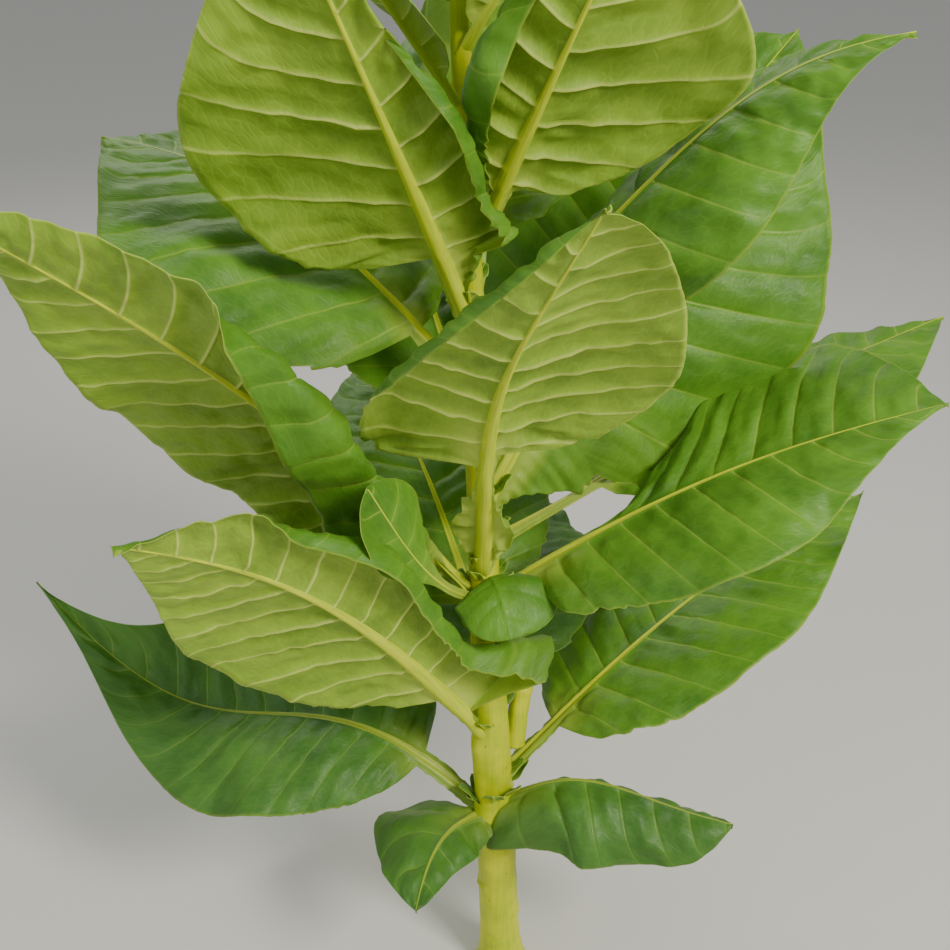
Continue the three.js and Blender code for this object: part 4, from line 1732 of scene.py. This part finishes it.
@dataclass(frozen=True)
class Stem:
    """The stem: fleshy and green, swollen at each leaf, ridged lengthwise and flat underneath.

    Attributes:
        sides: How many points go round it.
        foot_rings: The heights of the rings round its flared foot.
        ring_start: The height of the first ring above them.
        ring_step: The height between rings from there on.
        usual_radius: The radius at which its knots and ridges have their full size.
        knot: How far it swells at a leaf.
        knot_above: How much of its height the swelling takes above the leaf's foot.
        knot_below: How much it takes below.
        knot_round: How much of the swelling goes all the way round.
        knot_wide: The half width of the rest, in radians.
        ridge: How far the ridge below each leaf stands out.
        ridge_length: How far down it runs.
        ridge_wide: Its half width, in radians.
        lump: How far the rind wanders.
        lump_sizes: The heights of its large and its small bumps.
        lump_onset: The height at which it wanders in full, so that the cut underneath stays round.
        scars: The height and the azimuth of each scar that a fallen seed leaf or low leaf has left.
        scar: How far a scar's rim stands out.
        scar_size: Its half width and its half height.
        scar_rim: The half height of its rim and of the dent above it, in scar half heights.
        scar_arch: How far its rim bends up, and how deep the dent is, as shares of the rim's height.
    """

    sides: int = 56
    foot_rings: tuple[float, ...] = (0, 2, 5, 8)
    ring_start: float = 11
    ring_step: float = 3.2
    usual_radius: float = 18.0
    knot: float = 2.6
    knot_above: float = 8.0
    knot_below: float = 22.0
    knot_round: float = 0.12
    knot_wide: float = 0.75
    ridge: float = 0.9
    ridge_length: float = 95.0
    ridge_wide: float = 0.28
    lump: float = 0.45
    lump_sizes: Pair = (26, 9)
    lump_onset: float = 6
    scars: tuple[Pair, ...] = ((138, -78), (112, 58), (96, -152), (66, -24), (48, 104), (36, -118))
    scar: float = 2.0
    scar_size: Pair = (9.0, 5.5)
    scar_rim: Pair = (0.45, 0.7)
    scar_arch: Pair = (0.5, 0.5)

    def build(self, leaves: list[Leaf], rind: bpy.types.Material) -> bpy.types.Object:
        """Makes the stem's piece.

        Args:
            leaves: Every leaf that it carries.
            rind: Its material.

        Returns:
            The piece.
        """
        rings = np.arange(self.ring_start, STEM_HEIGHT, self.ring_step)
        heights = np.concatenate([self.foot_rings, rings, [STEM_HEIGHT]])
        angles = np.linspace(0, 2 * np.pi, self.sides, endpoint=False)
        height, angle = np.meshgrid(heights, angles, indexing="ij")
        radius = stem_radius(height)
        slender = radius / self.usual_radius
        for leaf in leaves:
            above = height - leaf.height
            turn = self.turn(angle, leaf.azimuth)
            swell = bell(above, np.where(above > 0, self.knot_above, self.knot_below))
            towards = bell(turn, self.knot_wide)
            running_down = smooth(1 + above / self.ridge_length) * (above < 0)
            radius = radius + self.knot * slender * swell * (self.knot_round + towards)
            radius = radius + self.ridge * slender * running_down * bell(turn, self.ridge_wide)
        for scar_height, azimuth in self.scars:
            radius = radius + self.scar * self.crescent(height - scar_height, scar_height, angle, azimuth)
        # Each plane is read round a circle, so that the bumps meet where the ring closes
        large, small = self.lump_sizes
        lumps = value_noise(11, height / large, 3 + 2 * np.cos(angle))
        lumps = lumps + value_noise(12, height / small, 5 + np.sin(angle))
        radius = radius + self.lump * slender * lumps * smooth(height / self.lump_onset)
        x = STEM_LEAN * height + radius * np.cos(angle)
        points = np.stack([x, radius * np.sin(angle), height], axis=-1).reshape(-1, 3)
        numbers, wrapped = ring_numbers(len(heights), self.sides)
        up, around = np.meshgrid(
            np.linspace(0, 1, len(heights)), np.linspace(0, 1, self.sides + 1), indexing="ij"
        )
        ends = {BAKE_MAP: np.zeros((1, self.sides, 2))}
        patches = [
            Patch(grid_faces(wrapped), 0, {BAKE_MAP: grid_places(np.stack([around, up], axis=-1))}),
            Patch(numbers[0][::-1][None, :], 0, ends),
            Patch(numbers[-1][None, :], 0, ends),
        ]
        return make_piece("stem_rind", "stem", points, patches, [rind])

    def turn(self, angle: Array, azimuth: float) -> Array:
        """Returns how far angles in radians lie from an azimuth in degrees, from -pi to pi."""
        return (angle - math.radians(azimuth) + np.pi) % (2 * np.pi) - np.pi

    def crescent(self, above: Array, scar_height: float, angle: Array, azimuth: float) -> Array:
        """Returns a scar's shape: a rim that opens upwards round a shallow dent.

        Args:
            above: Heights above the scar's middle.
            scar_height: The scar's own height.
            angle: Angles round the stem in radians.
            azimuth: The scar's azimuth in degrees.

        Returns:
            How far the rind stands out, as a share of the rim's height.
        """
        wide, high = self.scar_size
        rim, dent = self.scar_rim
        bend, depth = self.scar_arch
        aside = self.turn(angle, azimuth) * stem_radius(scar_height) / wide
        up = above / high - bend * aside**2
        return np.exp(-((up / rim) ** 2) - aside**4) - depth * np.exp(-(((up - 1) / dent) ** 2) - aside**4)


@dataclass(frozen=True)
class CutSideShoot:
    """The stub of a side shoot in a low leaf's axil, cut off flat, with dried pith on top.

    Attributes:
        height: The height of its foot.
        azimuth: The side of the stem that it stands on.
        length: Its length.
        lean: How far it leans out, in degrees.
        foot: Its radius at the foot.
        top: Its radius at the cut.
        inside_stem: How far its foot reaches into the stem.
        ribs: How many low ribs it has.
        ribbed: How far they stand out, as a share of its radius.
        twist: How far they turn on the way up, in radians for each rib.
        lip: How far it swells below the cut.
        lip_at: The swelling's place along it and its half width.
        rounding: How far its edge is rounded off at the cut.
        rounding_at: Where that starts and how much of the length it takes.
        lump: How far its rind wanders.
        lumps: How many bumps lie along it.
        sinks: The cut's rings from the edge inwards: their radius as a share, and how deep each lies.
        sides: How many points go round it.
        rings: How many rings its wall has.
    """

    height: float = 240
    azimuth: float = 38
    length: float = 60
    lean: float = 9
    foot: float = 9.5
    top: float = 8.5
    inside_stem: float = 1.2
    ribs: int = 5
    ribbed: float = 0.03
    twist: float = 4
    lip: float = 0.9
    lip_at: Pair = (0.93, 0.05)
    rounding: float = 1.2
    rounding_at: Pair = (0.97, 0.03)
    lump: float = 0.35
    lumps: float = 6
    sinks: tuple[Pair, ...] = ((0.86, 0.4), (0.5, 2.2), (0.12, 3.0))
    sides: int = 36
    rings: int = 30

    def build(self, rind: bpy.types.Material, pith: bpy.types.Material) -> bpy.types.Object:
        """Makes the shoot's piece.

        Args:
            rind: Its wall's material.
            pith: The cut's material.

        Returns:
            The piece.
        """
        share = np.linspace(0, 1, self.rings)
        angles = np.linspace(0, 2 * np.pi, self.sides, endpoint=False)
        along, angle = np.meshgrid(share, angles, indexing="ij")
        ribs = 1 + self.ribbed * np.sin(self.ribs * angle + self.twist * along)
        (lip_at, lip_wide), (edge_at, edge_wide) = self.lip_at, self.rounding_at
        radius = lerp(self.foot, self.top, along) * ribs + self.lip * bell(along - lip_at, lip_wide)
        radius = radius - self.rounding * smooth((along - edge_at) / edge_wide)
        radius = radius + self.lump * value_noise(21, along * self.lumps, 3 + 2 * np.cos(angle))
        wall = np.stack([radius * np.cos(angle), radius * np.sin(angle), along * self.length], axis=-1)
        cut = [wall[-1] * np.array([size, size, 1.0]) - np.array([0, 0, sink]) for size, sink in self.sinks]
        grid = np.concatenate([wall, np.stack(cut)])
        tilt = math.radians(self.lean)
        outwards = grid[..., :1] * math.cos(tilt) + grid[..., 2:] * math.sin(tilt)
        upwards = grid[..., 2] * math.cos(tilt) - grid[..., 0] * math.sin(tilt)
        out, aside = heading(self.azimuth), heading(self.azimuth + 90)
        from_axis = stem_radius(self.height) + self.foot - self.inside_stem
        foothold = stem_axis(self.height) + out * from_axis
        points = foothold + outwards * out + grid[..., 1:2] * aside
        points[..., 2] = foothold[2] + upwards
        numbers, wrapped = ring_numbers(points.shape[0], self.sides)
        patches = [
            Patch(grid_faces(wrapped[: self.rings]), 0),
            Patch(grid_faces(wrapped[self.rings - 1 :]), 1),
            Patch(numbers[0][::-1][None, :], 0),
            Patch(numbers[-1][None, :], 1),
        ]
        name = "cut_side_shoot_stub"
        return make_piece(name, "cut_side_shoot", points.reshape(-1, 3), patches, [rind, pith])


@dataclass(frozen=True)
class TerminalBud:
    """The bud on the stem's tip: young leaves still furled round each other.

    Attributes:
        length: The bud's length.
        radius: Its radius where it is thickest.
        wraps: How many furled leaves it has.
        thickness: How thick each is.
        belly: How much of its girth swells in the middle. The rest narrows evenly to the tip.
        belly_low: How low the swelling lies. At 1 it is in the middle.
        half_turn: How far each half of a leaf goes round, in degrees.
        closing: How late that narrows on the way up. Nearer 0 is later.
        tip_turn: How far each half still goes round at the tip, in radians.
        shorter: How much shorter the second and third of each three leaves are, as a share for each.
        slimmer: How much slimmer each leaf is than the one outside it, as a share of the whole bud.
        flare: How far a leaf's margins stand off, as a share of its radius.
        keel: How far its midrib stands out at the foot.
        ragged: How far its top edge rises and falls.
        ragged_turn: How often it does, in radians from the midrib to a margin.
        least_radius: The least radius that a leaf's inner face closes to.
        rows: How many rows of points a leaf has.
        columns: How many points each row has.
        vein_count: How many side veins its finish draws.
        blade_width: The width that its finish takes it for.
    """

    length: float = 46
    radius: float = 6.0
    wraps: int = 6
    thickness: float = 0.7
    belly: float = 0.75
    belly_low: float = 0.62
    half_turn: float = 128
    closing: float = 0.6
    tip_turn: float = 0.06
    shorter: float = 0.12
    slimmer: float = 0.08
    flare: float = 0.1
    keel: float = 0.5
    ragged: float = 1.2
    ragged_turn: float = 9
    least_radius: float = 0.15
    rows: int = 30
    columns: int = 24
    vein_count: int = 5
    blade_width: float = 20

    def wrap(self, index: int) -> tuple[Array, Array]:
        """Works out one furled leaf's outer and inner points.

        Args:
            index: The leaf's number, from 0 for the outermost.

        Returns:
            The outer and the inner points, in rows and columns.
        """
        share = np.linspace(0, 1, self.rows)[:, None]
        across = np.linspace(-1, 1, self.columns)[None, :]
        reach = 1 - self.shorter * ((self.wraps - 1 - index) % 3)
        girth = np.sin(np.pi * share**self.belly_low) * self.belly + (1 - self.belly) * (1 - share)
        swell = girth * (1 - self.slimmer * index)
        half_turn = np.radians(self.half_turn) * (1 - share**3) ** self.closing + self.tip_turn
        angle = math.radians(GOLDEN_TURN * index) + across * half_turn
        radius = self.radius * swell * (1 + self.flare * across**2)
        radius = radius + self.keel * np.cos(across * np.pi) * (1 - share)
        ragged = self.ragged * np.sin(self.ragged_turn * across + index)
        height = share * self.length * reach + ragged * share
        layers = []
        for inset in (0.0, self.thickness):
            inside = np.maximum(radius - inset, self.least_radius)
            x = STEM_LEAN * (STEM_HEIGHT + height) + inside * np.cos(angle)
            layers.append(np.stack([x, inside * np.sin(angle), STEM_HEIGHT + height], axis=-1))
        return layers[0], layers[1]

    def build(self, finishes: list[bpy.types.Material]) -> bpy.types.Object:
        """Makes the bud's piece.

        Args:
            finishes: The materials of a young leaf's upper face, underside and ribs.

        Returns:
            The piece.
        """
        points: list[Array] = []
        patches: list[Patch] = []
        size = self.rows * self.columns
        for index in range(self.wraps):
            points.extend(layer.reshape(-1, 3) for layer in self.wrap(index))
            outside = 2 * index * size + np.arange(size).reshape(self.rows, self.columns)
            inside = outside + size
            patches.append(self.patch(grid_faces(outside), 1))
            patches.append(self.patch(grid_faces(inside, flip=True), 0))
            patches.extend(self.patch(faces, 1) for faces in rim_faces(outside, inside))
        name = "terminal_bud_wraps"
        return make_piece(name, "terminal_bud", np.concatenate(points), patches, finishes)

    def patch(self, faces: Array, finish: int) -> Patch:
        """Gives faces their places in the leaf maps, read from their point numbers."""
        rows = (faces // self.columns) % self.rows
        columns = faces % self.columns
        along, across = rows / self.rows, columns / self.columns
        veins = np.stack([along * self.vein_count, np.abs(across - 0.5) * 2], axis=-1)
        blade = np.stack([along * self.length, across * self.blade_width], axis=-1) / BLADE_MAP_MM
        return Patch(faces, finish, {VEIN_MAP: veins, BLADE_MAP: blade})


@dataclass(frozen=True)
class Lamp:
    """A square soft lamp that points at the plant's middle.

    Attributes:
        name: The lamp's name.
        place: Where it stands, in metres.
        size: Its width in metres.
        power: Its power in watts.
        colour: Its linear colour.
    """

    name: str
    place: Triple
    size: float
    power: float
    colour: Triple

    def build(self) -> None:
        """Makes the lamp."""
        light = bpy.data.lights.new(self.name, "AREA")
        light.size = self.size
        light.energy = self.power
        light.color = self.colour
        lamp = bpy.data.objects.new(self.name, light)
        lamp.location = self.place
        towards = Vector(PLANT_MIDDLE) - Vector(self.place)
        lamp.rotation_euler = towards.to_track_quat("-Z", "Y").to_euler()
        bpy.context.scene.collection.objects.link(lamp)


PLANT_MIDDLE: Triple = (0.0, 0.0, 0.5)
LAMPS = (
    Lamp("key", (1.7, -1.9, 2.3), 0.9, 102.0, (1.0, 0.96, 0.86)),
    Lamp("fill", (-2.2, -1.6, 1.5), 2.0, 15.0, (0.92, 0.96, 1.0)),
    Lamp("back", (-0.7, 2.0, 2.4), 1.6, 26.0, (1.0, 0.98, 0.92)),
)


@dataclass(frozen=True)
class Studio:
    """The camera at the height and tilt of someone looking down into the crop, and soft studio light.

    Attributes:
        eye: Where the camera stands, in metres.
        tilt_down: How far it looks down, in degrees.
        lens: Its focal length, in millimetres of its sensor.
        sensor: The sensor's width.
        nearest: The nearest that it sees, in metres.
        floor_size: The floor's width in metres, which fills the camera's view to its top edge.
        floor_colour: The colour of the floor's paint.
        floor_grain_mm: The size of its grain.
        floor_gloss: The roughness between the grains and on them.
        sky_colour: The colour of the even light from all sides.
        sky_strength: How strong it is.
    """

    eye: Triple = (-0.025, -0.94, 0.95)
    tilt_down: float = 25.0
    lens: float = 49.45
    sensor: float = 36.0
    nearest: float = 0.05
    floor_size: float = 30.0
    floor_colour: str = "#d3d1cb"
    floor_grain_mm: float = 4.167
    floor_gloss: Pair = (0.75, 0.9)
    sky_colour: str = "#eef1f2"
    sky_strength: float = 0.46

    def build(self) -> None:
        """Makes the camera, the floor, the lamps and the sky's even light."""
        self.add_camera()
        self.add_floor()
        for lamp in LAMPS:
            lamp.build()
        world = bpy.data.worlds.new("even_light")
        world.use_nodes = True
        sky = world.node_tree.nodes["Background"]
        sky.inputs["Color"].default_value = srgb(self.sky_colour)
        sky.inputs["Strength"].default_value = self.sky_strength
        bpy.context.scene.world = world

    def add_camera(self) -> None:
        """Makes the camera, which looks along +Y and down."""
        lens = bpy.data.cameras.new("camera")
        lens.sensor_width = self.sensor
        lens.lens = self.lens
        lens.clip_start = self.nearest
        camera = bpy.data.objects.new("camera", lens)
        camera.location = self.eye
        camera.rotation_euler = (math.radians(90 - self.tilt_down), 0.0, 0.0)
        bpy.context.scene.collection.objects.link(camera)
        bpy.context.scene.camera = camera

    def add_floor(self) -> None:
        """Makes the plain pale floor at ground level."""
        half = self.floor_size / 2
        mesh = bpy.data.meshes.new("floor")
        corners = [(-half, -half, 0), (half, -half, 0), (half, half, 0), (-half, half, 0)]
        mesh.from_pydata(corners, [], [(0, 1, 2, 3)])
        material, tree = new_material("pale_painted_floor")
        place = add_node(tree, "TexCoord").outputs["Object"]
        grain = noise(tree, place, per_metre(self.floor_grain_mm), detail=2.0).outputs[0]
        close_material(tree, srgb(self.floor_colour), remap(tree, grain, WHOLE_SPAN, self.floor_gloss))
        mesh.materials.append(material)
        floor = bpy.data.objects.new("floor", mesh)
        bpy.context.scene.collection.objects.link(floor)


def main() -> None:
    """Builds the studio and then the plant, from the ground up."""
    logging.basicConfig(level=logging.INFO, format="%(name)s %(message)s")
    Studio().build()
    shoots = AxilShoot()
    grown = [replace(leaf, lobes=(*leaf.lobes, *shoots.leaflets(leaf))) for leaf in LEAVES]
    leaves = [*grown, *YoungLeaves().leaves()]
    finishes = {growth: FINISHES[growth].materials() for growth in Growth}
    rind = STEM_RIND.material()
    Stem().build(leaves, rind)
    CutSideShoot().build(rind, PithFinish().material())
    for leaf in leaves:
        LeafPiece(leaf).build(finishes[leaf.growth])
    TerminalBud().build(finishes[Growth.YOUNG])


if __name__ == "__main__":
    main()
